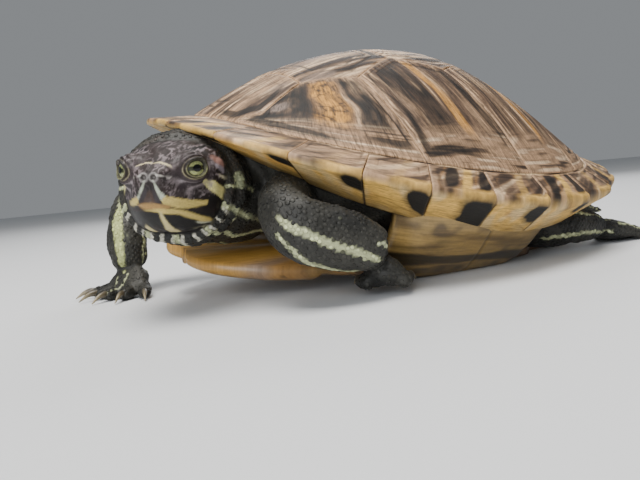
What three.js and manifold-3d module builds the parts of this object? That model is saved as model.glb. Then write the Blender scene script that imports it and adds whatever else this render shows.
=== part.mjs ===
// A life-size red-eared slider turtle, resting on the left edge of its plastron with the right foreleg
// set down in front and the left foreleg folded back along the shell. Millimetres, +Z up.
// The nose points towards -X and the turtle's left side is -Y. The floor is z = 0.
import * as THREE from "three";
import { mergeVertices } from "three/addons/utils/BufferGeometryUtils.js";
import Module from "manifold-3d";

const wasm = await Module();
wasm.setup();

// ---- Driving dimensions --------------------------------------------------------------------------

const GAP = 0.32; // clearance between touching pieces
const SHELL_LENGTH = 180; // straight carapace length, nuchal edge to tail notch
const SHELL_HALF_WIDTH = 68.2;
const SHELL_HEIGHT = 72.3; // underside of the plastron to the crown of the shell
const RIM_HEIGHT = { front: 43.3, side: 29, rear: 38.4 };
const REAR_SPREAD = 0.04; // how much wider the shell is behind its middle than before it
const PLATE_THICKNESS = 3.6; // bone and horn of the carapace
const RIM_EDGE = 1.5; // thickness of the marginal scutes at their outer edge
const MARGINAL_DEPTH = { front: 8, side: 18, rear: 7 }; // depth of a marginal at its inner end
const MARGINAL_START = { front: 0.83, side: 0.875, rear: 0.83 }; // its inner end, as a share of the way out
const FALL_AT_MARGINAL = { front: 0.94, side: 0.84, rear: 0.9 }; // share of the shell's fall reached there
const CROWN_ROUNDNESS = { front: 2.2, side: 2, rear: 1.3 };
const NUCHAL_HALF_WIDTH = 6;
const MARGINAL_WIDTHS = [21, 22, 20, 19.6, 20.9, 22, 23, 23.1, 21.9, 19.8, 17.6, 14.1];

const PLASTRON_THICKNESS = 5;
const BRIDGE = { front: -36, rear: 23 }; // where the bridges start and end along the shell

const BODY_PITCH = 5; // degrees, front end up
const BODY_ROLL = 10.5; // degrees, left side down
const BODY_LIFT = 5.6; // height of the shell's own origin above the floor

const HEAD_PLACE = [-92.15, -29, 39.2]; // midway between the eyes
const HEAD_TURN = { yaw: 49, pitch: -7, roll: 4 }; // degrees: to the left, nose down, tilted
const EYE = { radius: 4.2, forward: 3.8, out: 7.2, up: 1.2 };

const FOREFOOT_CLAWS = 5;
const HINDFOOT_CLAWS = 4;
const CLAW_LENGTH = 7;
const CLAW_RADIUS = 1.15;

// ---- Colours and finishes ------------------------------------------------------------------------

const FINISH = {
  shell: { color: 0x8a6f4e, roughness: 0.55, metalness: 0 },
  rim: { color: 0xa98a4a, roughness: 0.5, metalness: 0 },
  plastron: { color: 0xc99a45, roughness: 0.45, metalness: 0 },
  skin: { color: 0x2f3331, roughness: 0.6, metalness: 0 },
  eye: { color: 0x8d9a3a, roughness: 0.08, metalness: 0 },
  claw: { color: 0x8f8360, roughness: 0.4, metalness: 0 },
};

// ---- Solids --------------------------------------------------------------------------------------

const DEGREE = Math.PI / 180;
const FLOOR_SIZE = 600;

// Turns a closed geometry into a solid, with its faces pointing out.
function solid(geometry) {
  const bare = new THREE.BufferGeometry();
  bare.setAttribute("position", geometry.getAttribute("position"));
  if (geometry.index) bare.setIndex(geometry.index);
  const merged = mergeVertices(bare, 1e-4);
  const corners = [];
  const index = merged.index.array;
  for (let i = 0; i < index.length; i += 3) {
    const [a, b, c] = [index[i], index[i + 1], index[i + 2]];
    if (a !== b && b !== c && c !== a) corners.push(a, b, c);
  }
  const place = merged.attributes.position.array;
  const point = (i) => new THREE.Vector3().fromArray(place, 3 * i);
  let volume = 0;
  for (let i = 0; i < corners.length; i += 3) {
    volume += point(corners[i]).dot(point(corners[i + 1]).cross(point(corners[i + 2])));
  }
  if (volume < 0) corners.reverse();
  return new wasm.Manifold(
    new wasm.Mesh({
      numProp: 3,
      vertProperties: new Float32Array(place),
      triVerts: new Uint32Array(corners),
    }),
  );
}

function geometryOf(shape) {
  const mesh = shape.getMesh();
  const geometry = new THREE.BufferGeometry();
  geometry.setAttribute("position", new THREE.BufferAttribute(new Float32Array(mesh.vertProperties), 3));
  geometry.setIndex(new THREE.BufferAttribute(new Uint32Array(mesh.triVerts), 1));
  const flat = geometry.toNonIndexed();
  flat.computeVertexNormals();
  return flat;
}

const turtle = new THREE.Group();

function addNode(name, shape, finish) {
  const node = new THREE.Mesh(geometryOf(shape), new THREE.MeshStandardMaterial(FINISH[finish]));
  node.name = name;
  turtle.add(node);
}

const floorBlock = solid(
  new THREE.BoxGeometry(FLOOR_SIZE, FLOOR_SIZE, FLOOR_SIZE).translate(0, 0, -FLOOR_SIZE / 2),
);

// The largest piece of a solid that cuts have left in several.
function mainPiece(shape) {
  return shape.decompose().reduce((best, piece) => (piece.volume() > best.volume() ? piece : best));
}

function restOnFloor(shape) {
  return shape.subtract(floorBlock);
}

// Value of a table of [station, value] rows at a station, eased between rows.
function profile(rows, station) {
  if (station <= rows[0][0]) return rows[0][1];
  for (let i = 1; i < rows.length; i++) {
    const [from, low] = rows[i - 1];
    const [to, high] = rows[i];
    if (station <= to) return THREE.MathUtils.lerp(low, high, (station - from) / (to - from));
  }
  return rows[rows.length - 1][1];
}

// A ball whose points are each moved by place(around, polar): around runs 0..2 PI, polar 0..PI.
function shapedBall(sides, rings, place) {
  const geometry = new THREE.SphereGeometry(1, sides, rings);
  const points = geometry.attributes.position;
  for (let i = 0; i < points.count; i++) {
    const polar = Math.acos(THREE.MathUtils.clamp(points.getY(i), -1, 1));
    const atPole = Math.sin(polar) < 1e-6;
    const around = atPole ? 0 : Math.atan2(points.getZ(i), -points.getX(i));
    const moved = place(around, polar);
    points.setXYZ(i, moved.x, moved.y, moved.z);
  }
  return solid(geometry);
}

// A round-ended limb along a smooth path. Each knot is [x, y, z, half width, half height], and
// upright is roughly the direction in which its height is measured.
function limb(knots, { sides = 12, rings = 12, upright = [0, 0, 1], blunt = 0.5, grow = 0 } = {}) {
  const path = new THREE.CatmullRomCurve3(knots.map(([x, y, z]) => new THREE.Vector3(x, y, z)));
  const rows = (column) => knots.map((knot, i) => [i / (knots.length - 1), knot[column]]);
  const [widths, heights] = [rows(3), rows(4)];
  return shapedBall(sides, rings, (around, polar) => {
    const share = (1 - Math.cos(polar)) / 2;
    const tangent = path.getTangent(share);
    const side = new THREE.Vector3().crossVectors(tangent, new THREE.Vector3(...upright)).normalize();
    const up = new THREE.Vector3().crossVectors(side, tangent);
    const swell = Math.pow(Math.max(0, Math.sin(polar)), blunt);
    return path
      .getPoint(share)
      .addScaledVector(tangent, -Math.cos(polar) * grow)
      .addScaledVector(side, swell * (profile(widths, share) + grow) * Math.cos(around))
      .addScaledVector(up, swell * (profile(heights, share) + grow) * Math.sin(around));
  });
}

// ---- Shell ---------------------------------------------------------------------------------------

// The value for a direction round the shell, from its front, side and rear values.
function round(values, turn) {
  const ahead = Math.max(0, Math.cos(turn)) ** 2;
  const behind = Math.max(0, -Math.cos(turn)) ** 2;
  return values.side + (values.front - values.side) * ahead + (values.rear - values.side) * behind;
}

// Edge of the shell: turn is 0 at the neck and PI at the tail, positive on the right side.
function rim(turn) {
  const x = (-SHELL_LENGTH / 2) * Math.cos(turn);
  const spread = 1 - REAR_SPREAD * Math.cos(turn);
  const y = Math.sign(Math.sin(turn)) * SHELL_HALF_WIDTH * spread * Math.abs(Math.sin(turn)) ** 0.92;
  const along = x / SHELL_LENGTH + 0.5;
  const z =
    RIM_HEIGHT.front * (1 - along) * (1 - 2 * along) +
    RIM_HEIGHT.side * 4 * along * (1 - along) +
    RIM_HEIGHT.rear * along * (2 * along - 1);
  return new THREE.Vector3(x, y, z);
}

// Outer surface of the carapace, at a share of the way out from its crown to its rim.
function dome(turn, share) {
  const edge = rim(turn);
  const seam = round(MARGINAL_START, turn);
  const fallen = round(FALL_AT_MARGINAL, turn);
  const inner = fallen * Math.pow(Math.min(share, seam) / seam, round(CROWN_ROUNDNESS, turn));
  const outer = share > seam ? ((1 - fallen) * (share - seam)) / (1 - seam) : 0;
  const z = SHELL_HEIGHT - (SHELL_HEIGHT - edge.z) * (inner + outer);
  return new THREE.Vector3(edge.x * share, edge.y * share, z);
}

const DOME_SIDES = 36;
const DOME_RINGS = 12;

// The part of the shell between its outer surface, raised by lift, and an underside.
function shellLayer(lift, underside) {
  return shapedBall(DOME_SIDES, DOME_RINGS, (around, polar) => {
    const share = Math.sin(polar);
    const top = polar <= Math.PI / 2 + 1e-6;
    const point = dome(around, share);
    point.z += top ? lift : -underside(around, share, point.z);
    return point;
  });
}

// Depth of the marginal scutes below the shell's outer surface.
function marginalDepth(turn, share) {
  const seam = round(MARGINAL_START, turn);
  const inward = THREE.MathUtils.clamp((1 - share) / (1 - seam), 0, 1);
  return THREE.MathUtils.lerp(RIM_EDGE, round(MARGINAL_DEPTH, turn), inward);
}

// Points round the shell at equal steps of arc, to find a turn from a distance along the rim.
const RIM_STEPS = 720;
const rimWalk = [{ turn: 0, distance: 0 }];
for (let i = 1; i <= RIM_STEPS; i++) {
  const turn = (Math.PI * i) / RIM_STEPS;
  const step = rim(turn).setZ(0).distanceTo(rim(rimWalk[i - 1].turn).setZ(0));
  rimWalk.push({ turn, distance: rimWalk[i - 1].distance + step });
}
const rimLength = rimWalk[RIM_STEPS].distance;
const widthSum = NUCHAL_HALF_WIDTH + MARGINAL_WIDTHS.reduce((sum, width) => sum + width, 0);

// Turn at a distance along the rim from the middle of the nuchal scute.
function turnAt(distance) {
  const goal = (distance / widthSum) * rimLength;
  return rimWalk.find((step) => step.distance >= goal - 1e-9).turn;
}

// marginalSeams[n] is the distance from the front to the seam behind marginal n.
const marginalSeams = [NUCHAL_HALF_WIDTH];
for (const width of MARGINAL_WIDTHS) marginalSeams.push(marginalSeams.at(-1) + width);

const ARC_STEP = 11;

// Plan points along the inner end of the marginals, or along another share, between two distances.
function arc(from, to, side, share) {
  const steps = Math.max(1, Math.round(Math.abs(to - from) / ARC_STEP));
  return Array.from({ length: steps + 1 }, (_, i) => {
    const turn = turnAt(from + ((to - from) * i) / steps);
    const out = share ?? round(MARGINAL_START, turn);
    const edge = rim(turn);
    return [edge.x * out, Math.abs(edge.y) * out * side];
  });
}

// A plan outline moved inwards by a distance on every edge.
function inset(points, distance) {
  const loop = points.map(([x, y]) => new THREE.Vector2(x, y));
  if (THREE.ShapeUtils.area(loop) < 0) loop.reverse();
  return loop.map((corner, i) => {
    const before = corner.clone().sub(loop.at(i - 1)).normalize();
    const after = loop[(i + 1) % loop.length].clone().sub(corner).normalize();
    const [n1, n2] = [before, after].map((edge) => new THREE.Vector2(-edge.y, edge.x));
    const push = n1.clone().add(n2);
    return corner.clone().addScaledVector(push, distance / Math.max(0.5, 1 + n1.dot(n2)));
  });
}

// An upright prism through the whole shell over a plan outline.
function prism(points) {
  const shape = new THREE.Shape(inset(points, GAP / 2));
  return solid(new THREE.ExtrudeGeometry(shape, { depth: 120, bevelEnabled: false }).translate(0, 0, -20));
}

const pose = new THREE.Matrix4()
  .makeTranslation(0, 0, BODY_LIFT)
  .multiply(new THREE.Matrix4().makeRotationY(BODY_PITCH * DEGREE))
  .multiply(new THREE.Matrix4().makeRotationX(BODY_ROLL * DEGREE));

// Carries a solid made in the shell's own frame to where the resting turtle has it.
function posed(shape) {
  return solid(geometryOf(shape).applyMatrix4(pose));
}

const plates = shellLayer(0, (turn, share) => (share > 0.999 ? RIM_EDGE : PLATE_THICKNESS));
const marginals = shellLayer(0, marginalDepth);

// Corners of the vertebral scutes, from the front: [x, half width]. Seams and side corners alternate.
const SEAM_12 = [-52, 17];
const CORNER_1 = [-66, 20];
const CORNER_2 = [-36, 24.5];
const SEAM_23 = [-19, 16.5];
const CORNER_3 = [-2, 25];
const SEAM_34 = [15, 16];
const CORNER_4 = [31, 23];
const SEAM_45 = [47, 12.5];
const FIRST_COSTAL_FROM = 17; // distance along the rim where vertebral 1 meets costal 1
const SEAM_C12 = marginalSeams[4];
const SEAM_C23 = marginalSeams[6];
const SEAM_C34 = marginalSeams[7] + 11.5;
const LAST_COSTAL_TO = 224; // where costal 4 meets vertebral 5

function bothSides(half) {
  return [...half, ...half.map(([x, y]) => [x, -y]).reverse()];
}

const vertebrals = [
  bothSides([...arc(0.5, FIRST_COSTAL_FROM, 1), CORNER_1, SEAM_12]),
  bothSides([SEAM_12, CORNER_2, SEAM_23]),
  bothSides([SEAM_23, CORNER_3, SEAM_34]),
  bothSides([SEAM_34, CORNER_4, SEAM_45]),
  bothSides([SEAM_45, ...arc(LAST_COSTAL_TO, widthSum - 0.5, 1)]),
];
vertebrals.forEach((outline, i) => {
  addNode(`vertebral_${i + 1}`, posed(plates.intersect(prism(outline))), "shell");
});

const SIDES = [
  { name: "left", side: -1 },
  { name: "right", side: 1 },
];
for (const { name, side } of SIDES) {
  const flip = ([x, y]) => [x, y * side];
  const costals = [
    [...arc(FIRST_COSTAL_FROM, SEAM_C12, side), ...[CORNER_2, SEAM_12, CORNER_1].map(flip)],
    [...arc(SEAM_C12, SEAM_C23, side), ...[CORNER_3, SEAM_23, CORNER_2].map(flip)],
    [...arc(SEAM_C23, SEAM_C34, side), ...[CORNER_4, SEAM_34, CORNER_3].map(flip)],
    [...arc(SEAM_C34, LAST_COSTAL_TO, side), ...[SEAM_45, CORNER_4].map(flip)],
  ];
  costals.forEach((outline, i) => {
    addNode(`costal_${name}_${i + 1}`, posed(plates.intersect(prism(outline))), "shell");
  });
  const groups = { front: [0, 4], bridge: [4, 8], rear: [8, 12] };
  for (const [group, [first, last]] of Object.entries(groups)) {
    const [from, to] = [marginalSeams[first], marginalSeams[last]];
    const outline = [...arc(from, to, side), ...arc(from, to, side, 1.06).reverse()];
    addNode(`marginals_${name}_${group}`, posed(marginals.intersect(prism(outline))), "rim");
  }
}
const nuchalHalf = [...arc(0.2, NUCHAL_HALF_WIDTH, 1), ...arc(0.2, NUCHAL_HALF_WIDTH, 1, 1.06).reverse()];
addNode("nuchal", posed(marginals.intersect(prism(bothSides(nuchalHalf)))), "rim");

// Plastron: half outline as [x, half width], from the gular notch to the anal notch, drawn smooth.
const PLASTRON_CORNERS = [
  [-80, 2],
  [-82, 9],
  [-78, 19],
  [-66, 29],
  [-50, 34],
  [-38, 42],
  [0, 44],
  [30, 42],
  [42, 35],
  [58, 35],
  [71, 27],
  [79, 14],
  [76, 3],
];
const PLASTRON_OUTLINE = new THREE.SplineCurve(PLASTRON_CORNERS.map(([x, y]) => new THREE.Vector2(x, y)))
  .getPoints(17)
  .map(({ x, y }) => [x, y]);

// The plastron bends up a little at its rear lobe and along its sides.
function plastronBend(x, y) {
  return 3.5 * THREE.MathUtils.smoothstep(x, 20, 80) + 3 * (Math.abs(y) / 45) ** 4 - 1.5 * (x < -50);
}

const BRIDGE_SECTION = [
  [44, 1],
  [49, 4.5],
  [54.5, 10.5],
  [59.5, 17.5],
  [61, 21],
  [55.5, 26],
  [53, 17],
  [48.5, 10],
  [43, 6.5],
];

function bend(geometry, move) {
  const points = geometry.attributes.position;
  for (let i = 0; i < points.count; i++) {
    const moved = move(points.getX(i), points.getY(i), points.getZ(i));
    points.setXYZ(i, ...moved);
  }
  return geometry;
}

function plastronSolid(grow) {
  const outline = bothSides(PLASTRON_OUTLINE).reverse();
  const loop = new THREE.Shape(inset(outline, -grow));
  const depth = PLASTRON_THICKNESS + 2 * grow;
  const slab = new THREE.ExtrudeGeometry(loop, {
    depth: depth - 3,
    bevelThickness: 1.5,
    bevelSize: 1.5,
    bevelOffset: -1.5,
    bevelSegments: 1,
  });
  return solid(bend(slab, (x, y, z) => [x, y, z + 1.5 - grow + plastronBend(x, y)]));
}

function bridgeSolid(side, grow) {
  const section = new THREE.Shape(inset(BRIDGE_SECTION, -grow));
  const length = BRIDGE.rear - BRIDGE.front + 2 * grow;
  const slab = new THREE.ExtrudeGeometry(section, { depth: length, steps: 6, bevelEnabled: false });
  return solid(
    bend(slab, (out, up, along) => {
      const x = BRIDGE.front - grow + along;
      const edge = rim(Math.acos(THREE.MathUtils.clamp((-2 * x) / SHELL_LENGTH, -1, 1)));
      const level = THREE.MathUtils.clamp(up / 21, 0, 1);
      const shrink = Math.abs(edge.y) / SHELL_HALF_WIDTH;
      const taper = 5 * Math.abs((2 * along) / length - 1) ** 4 * (1 - level);
      const lift = (edge.z - RIM_HEIGHT.side) * level + taper;
      return [x, side * (43 + (out - 43) * (1 - (1 - shrink) * level * 3)), up + lift];
    }),
  );
}

const marginalsKeepClear = shellLayer(60, (turn, share) => marginalDepth(turn, share) + GAP);
const plastron = plastronSolid(0);
const plastronKeepClear = plastronSolid(GAP);
addNode("plastron", restOnFloor(posed(plastron)), "plastron");
for (const { name, side } of SIDES) {
  const bridge = bridgeSolid(side, 0).subtract(marginalsKeepClear).subtract(plastronKeepClear);
  addNode(`bridge_${name}`, restOnFloor(posed(bridge)), "plastron");
}

// ---- Flesh ---------------------------------------------------------------------------------------

// Everything of the shell that flesh stays clear of, in the resting turtle's frame.
const shellKeepClear = posed(
  marginalsKeepClear.add(plastronKeepClear).add(bridgeSolid(1, GAP)).add(bridgeSolid(-1, GAP)),
);

// The trunk fills the shell and shows in its front and rear openings.
function trunkSolid(grow) {
  const reach = 0.85;
  return shapedBall(20, 8, (around, polar) => {
    const share = Math.sin(polar);
    const point = dome(around, share * reach);
    const waist = dome(around, reach).z - 9;
    const top = polar <= Math.PI / 2 + 1e-6;
    const under = PLATE_THICKNESS + GAP + 0.6 + 4 * share ** 6;
    const low = THREE.MathUtils.lerp(8, waist, Math.abs(share) ** 5);
    point.z = top ? Math.max(point.z - under, waist) + grow : low - grow;
    const out = 1 + grow / 60;
    return new THREE.Vector3(point.x * out, point.y * out, point.z);
  });
}

const trunkGrown = posed(trunkSolid(GAP));

// Flesh outside the trunk and clear of the shell.
function fleshPart(shape) {
  return mainPiece(restOnFloor(shape.subtract(trunkGrown).subtract(shellKeepClear)));
}

const headPose = new THREE.Matrix4()
  .makeTranslation(...HEAD_PLACE)
  .multiply(new THREE.Matrix4().makeRotationZ(HEAD_TURN.yaw * DEGREE))
  .multiply(new THREE.Matrix4().makeRotationY(HEAD_TURN.pitch * DEGREE))
  .multiply(new THREE.Matrix4().makeRotationX(HEAD_TURN.roll * DEGREE));

// A point of the head from its distance ahead of the eyes, to the left of the middle and up.
function headPoint(forward, left, up) {
  return new THREE.Vector3(-forward, -left, up).applyMatrix4(headPose);
}

// Sections of the head by distance ahead of the eyes.
const HEAD_BACK = -19;
const SNOUT = 13.8;
const HEAD_BLUNTNESS = 0.27;
const HEAD_HALF_WIDTH = [
  [-19, 11],
  [-12, 13.6],
  [-6, 14.3],
  [0, 13],
  [4, 10.9],
  [8, 8.6],
  [11, 6.8],
  [SNOUT, 4.5],
];
const HEAD_CROWN = [
  [-19, 6.5],
  [-12, 8.4],
  [-4, 8],
  [2, 7],
  [7, 5.2],
  [11, 4],
  [SNOUT, 3],
];
const HEAD_CHIN = [
  [-19, 12],
  [-12, 15.5],
  [-4, 16.5],
  [3, 16],
  [8, 14.6],
  [11, 13],
  [SNOUT, 11],
];

function headSolid(grow) {
  return shapedBall(20, 14, (around, polar) => {
    const share = (1 - Math.cos(polar)) / 2;
    const forward = THREE.MathUtils.lerp(HEAD_BACK, SNOUT, share) - Math.cos(polar) * grow;
    const swell = Math.pow(Math.max(0, Math.sin(polar)), HEAD_BLUNTNESS);
    const [out, up] = [Math.cos(around), Math.sin(around)];
    const reach = up > 0 ? profile(HEAD_CROWN, forward) : profile(HEAD_CHIN, forward);
    const squarish = (value, power) => Math.sign(value) * Math.abs(value) ** power;
    return headPoint(
      forward,
      swell * (profile(HEAD_HALF_WIDTH, forward) + grow) * squarish(out, up > 0 ? 0.86 : 0.6),
      swell * (reach + grow) * squarish(up, up > 0 ? 0.86 : 0.6),
    );
  });
}

function eyeSolid(side, grow) {
  const place = headPoint(EYE.forward, side * EYE.out, EYE.up);
  return solid(new THREE.SphereGeometry(EYE.radius + grow, 10, 7).translate(...place));
}

const NECK = [
  [-48, -6, 33, 15, 14],
  [-62, -9, 33, 17, 17],
  [-75, -14, 34, 18, 17.5],
  [-86, -22, 36, 16.5, 15.5],
];
const neckOptions = { sides: 14, rings: 7, blunt: 0.35 };
const head = headSolid(0);
const headGrown = headSolid(GAP);

addNode("head", head.subtract(eyeSolid(1, GAP)).subtract(eyeSolid(-1, GAP)), "skin");
addNode("eye_left", eyeSolid(1, 0), "eye");
addNode("eye_right", eyeSolid(-1, 0), "eye");

// Legs as knots of [x, y, z, half width, half height] in the resting turtle's frame.
const LEGS = {
  foreleg_left: [
    [-44, -24, 29, 9, 10],
    [-58, -34, 28.5, 9.5, 10],
    [-67.5, -46, 25, 7.5, 8.5],
    [-66, -53, 20.5, 6.5, 9],
    [-56.5, -57, 17, 6.2, 9.8],
    [-45.5, -60.5, 13.5, 5.6, 8.8],
  ],
  foreleg_right: [
    [-44, 28, 32, 10, 10],
    [-62, 38, 34, 10.5, 10],
    [-78, 40, 31, 9, 9],
    [-86, 35, 22, 7.5, 8],
    [-88, 31, 14, 7.5, 8],
    [-88.5, 29.5, 9, 8, 7.5],
  ],
  hindleg_left: [
    [46, -14, 21, 12, 12],
    [38, -31, 15, 12, 11],
    [35, -45, 10.5, 10, 8.5],
    [48, -50, 9, 8, 7.5],
    [63, -50, 7, 6.5, 6],
  ],
  hindleg_right: [
    [48, 20, 24, 12, 12],
    [46, 38, 22, 12, 11],
    [46, 54, 17, 10, 9],
    [60, 61, 11.5, 8, 8],
    [72, 64, 6.5, 7, 6],
  ],
};

// Feet: the sole runs from the heel to the middle of the toes, which fan out over a spread in degrees.
const FEET = {
  foreleg_left: { heel: [-46.5, -59.5, 9.5], toes: [-41.5, -53, 3.6], width: 6.5, spread: 34, claws: FOREFOOT_CLAWS },
  foreleg_right: { heel: [-85.5, 29.5, 8.5], toes: [-94, 25.5, 1.9], width: 10, spread: 92, claws: FOREFOOT_CLAWS },
  hindleg_left: { heel: [61, -50, 6.5], toes: [81, -48, 1.8], width: 10, spread: 62, claws: HINDFOOT_CLAWS },
  hindleg_right: { heel: [70, 64, 6.5], toes: [90, 70, 1.8], width: 10, spread: 62, claws: HINDFOOT_CLAWS },
};
const TOE_RADIUS = 2.3;
const TOE_LENGTH = 6.5;

// Where each toe of a foot starts, and which way it points.
function toesOf(foot) {
  const heel = new THREE.Vector3(...foot.heel);
  const middle = new THREE.Vector3(...foot.toes);
  const ahead = middle.clone().sub(heel).setZ(0).normalize();
  const across = new THREE.Vector3(-ahead.y, ahead.x, 0);
  return Array.from({ length: foot.claws }, (_, i) => {
    const share = i / (foot.claws - 1) - 0.5;
    const angle = share * foot.spread * DEGREE;
    const direction = ahead.clone().multiplyScalar(Math.cos(angle)).addScaledVector(across, Math.sin(angle));
    const back = 3.4 * Math.abs(2 * share) ** 2;
    const root = middle.clone().addScaledVector(across, share * 1.7 * foot.width).addScaledVector(ahead, -back);
    return { root, direction };
  });
}

// A point ahead of a toe's root, at a height above the floor.
function toePoint({ root, direction }, distance, height) {
  const point = root.clone().addScaledVector(direction, distance);
  return [point.x, point.y, height];
}

function footSolid(foot, grow) {
  const [heel, toes] = [foot.heel, foot.toes];
  const palm = heel.map((value, i) => (value + toes[i]) / 2);
  const sole = [
    [...heel, foot.width * 0.68, 5],
    [...palm, foot.width * 0.9, 4.2],
    [...toes, foot.width, 2.7],
  ];
  let shape = limb(sole, { sides: 8, rings: 6, grow });
  for (const toe of toesOf(foot)) {
    const level = foot.toes[2];
    const knots = [
      [...toePoint(toe, -4, level + 0.6), TOE_RADIUS, TOE_RADIUS],
      [...toePoint(toe, 1, level + 0.5), TOE_RADIUS, TOE_RADIUS],
      [...toePoint(toe, TOE_LENGTH, level - 0.1), TOE_RADIUS * 0.85, TOE_RADIUS * 0.85],
    ];
    shape = shape.add(limb(knots, { sides: 6, rings: 4, grow }));
  }
  return shape;
}

function clawSolid(toe, level) {
  const start = TOE_LENGTH - 1.4;
  const knots = [
    [...toePoint(toe, start, level + 0.5), CLAW_RADIUS, CLAW_RADIUS],
    [...toePoint(toe, start + CLAW_LENGTH * 0.5, level + 0.4), CLAW_RADIUS * 0.8, CLAW_RADIUS * 0.9],
    [...toePoint(toe, start + CLAW_LENGTH, Math.max(0.5, level - 1.6)), 0.3, 0.35],
  ];
  return limb(knots, { sides: 5, rings: 4, blunt: 0.5 });
}

const legKeepClear = {};
for (const name of Object.keys(LEGS)) {
  legKeepClear[name] = limb(LEGS[name], { sides: 9, rings: 8, grow: GAP }).add(footSolid(FEET[name], GAP));
}

const neck = limb(NECK, neckOptions).subtract(headGrown);
const neckClear = neck.subtract(legKeepClear.foreleg_left).subtract(legKeepClear.foreleg_right);
addNode("neck", fleshPart(neckClear), "skin");
const trunk = trunkSolid(0)
  .subtract(marginalsKeepClear)
  .subtract(plastronKeepClear)
  .subtract(bridgeSolid(1, GAP))
  .subtract(bridgeSolid(-1, GAP));
addNode("trunk", posed(mainPiece(trunk)), "skin");

for (const name of Object.keys(LEGS)) {
  const foot = FEET[name];
  const footGrown = footSolid(foot, GAP);
  const leg = limb(LEGS[name], { sides: 9, rings: 8 }).subtract(footGrown).subtract(headGrown);
  addNode(name, fleshPart(leg), "skin");
  const footName = name.replace("leg", "foot");
  addNode(footName, fleshPart(footSolid(foot, 0)), "skin");
  toesOf(foot).forEach((toe, i) => {
    const claw = clawSolid(toe, foot.toes[2]).subtract(footGrown);
    addNode(`claw_${footName}_${i + 1}`, restOnFloor(claw), "claw");
  });
}

const TAIL = [
  [66, -4, 20, 7, 7],
  [80, -7, 17, 5.5, 5.5],
  [94, -13, 12, 3.8, 4],
  [108, -22, 8, 1.6, 1.8],
];
addNode("tail", fleshPart(limb(TAIL, { sides: 9, rings: 7 })), "skin");

// The origin is at floor level under the middle of the whole turtle.
const bounds = new THREE.Box3().setFromObject(turtle);
turtle.position.set(-(bounds.min.x + bounds.max.x) / 2, -(bounds.min.y + bounds.max.y) / 2, 0);

export default turtle;
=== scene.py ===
# %% [markdown]
# A still, life-size model of a red-eared slider turtle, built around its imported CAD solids.
# The frame is loaded first, because every piece made here has to sit where a CAD node already is:
# horn plates over the shell's solids, one skin over all the solids of flesh.

# %% Load the frame
import math

import bmesh
import bpy
import numpy as np
from mathutils import Matrix, Vector


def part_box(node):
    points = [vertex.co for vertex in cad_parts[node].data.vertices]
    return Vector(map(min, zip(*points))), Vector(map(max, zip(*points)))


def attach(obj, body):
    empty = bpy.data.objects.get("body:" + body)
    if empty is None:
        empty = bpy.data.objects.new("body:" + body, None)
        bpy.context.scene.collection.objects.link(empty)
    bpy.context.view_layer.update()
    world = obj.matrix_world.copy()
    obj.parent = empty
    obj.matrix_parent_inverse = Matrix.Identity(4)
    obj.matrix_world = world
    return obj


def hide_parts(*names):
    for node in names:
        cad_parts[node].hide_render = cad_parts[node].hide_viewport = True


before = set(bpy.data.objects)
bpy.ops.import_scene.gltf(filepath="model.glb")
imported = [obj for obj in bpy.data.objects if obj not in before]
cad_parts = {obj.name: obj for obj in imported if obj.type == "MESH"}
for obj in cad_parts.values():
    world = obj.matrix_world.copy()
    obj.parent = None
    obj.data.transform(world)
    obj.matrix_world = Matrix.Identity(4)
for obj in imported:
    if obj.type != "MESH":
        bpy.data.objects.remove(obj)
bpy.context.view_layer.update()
MM = 0.001

# %% [markdown]
# Shapes are worked out in millimetres with numpy, thousands of points at a time, and written to
# the meshes in metres. These small helpers ease one value into another, turn a hex colour into
# the linear numbers that Blender's shaders use, and give soft repeatable noise. The noise is a
# lattice of hashed random values with smooth steps between them, so each run gives the same one.

# %% Easing, colour and noise helpers
def ease(value, low, high):
    """0 below low, 1 above high, and a smooth step between."""
    t = np.clip((value - low) / (high - low), 0, 1)
    return t * t * (3 - 2 * t)


def hill(value, middle, width):
    """1 where value is at the middle, falling smoothly to 0 over about two widths."""
    return np.exp(-(((value - middle) / width) ** 2))


def tint(code):
    """Linear red, green and blue of a hex colour."""
    s = np.array([int(code[i : i + 2], 16) for i in (0, 2, 4)]) / 255
    return np.where(s <= 0.04045, s / 12.92, ((s + 0.055) / 1.055) ** 2.4)


def lay(paint, colour, cover):
    """Lays a colour over painted points, by a cover of 0..1 at each."""
    colour = tint(colour) if isinstance(colour, str) else colour
    return paint + (colour - paint) * np.clip(cover, 0, 1)[:, None]


def plain(colour, points):
    """One colour for every point."""
    return np.tile(tint(colour), (len(points), 1))


def cloud(points, size, seed=0):
    """Soft noise in -1..1, with lumps about size across. size may differ by axis."""
    p = np.asarray(points, float) / size + 31.7 * seed
    cell = np.floor(p).astype(np.int64)
    f = p - cell
    f = f * f * (3 - 2 * f)
    total = 0.0
    for corner in np.ndindex(2, 2, 2):
        c = cell + corner
        h = (c[:, 0] * 73856093) ^ (c[:, 1] * 19349663) ^ (c[:, 2] * 83492791)
        h = ((h ^ (h >> 13)) * 1274126177) & 0x7FFFFFFF
        h = h ^ (h >> 16)
        weight = np.prod(np.where(corner, f, 1 - f), axis=1)
        total = total + weight * ((h & 0xFFFF) / 32767.5 - 1)
    return total


def layered(points, size, seed=0):
    """Two octaves of cloud noise."""
    return 0.67 * cloud(points, size, seed) + 0.33 * cloud(points, np.asarray(size) / 2.1, seed + 5)


print("mid grey is", tint("808080").round(3))

# %% [markdown]
# The body stands a little nose up and rolled to its left, because the right foreleg props it.
# The CAD put its origin under the middle of the whole turtle, so the shift between the shell's
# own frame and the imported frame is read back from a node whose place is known: the left eye.

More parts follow.
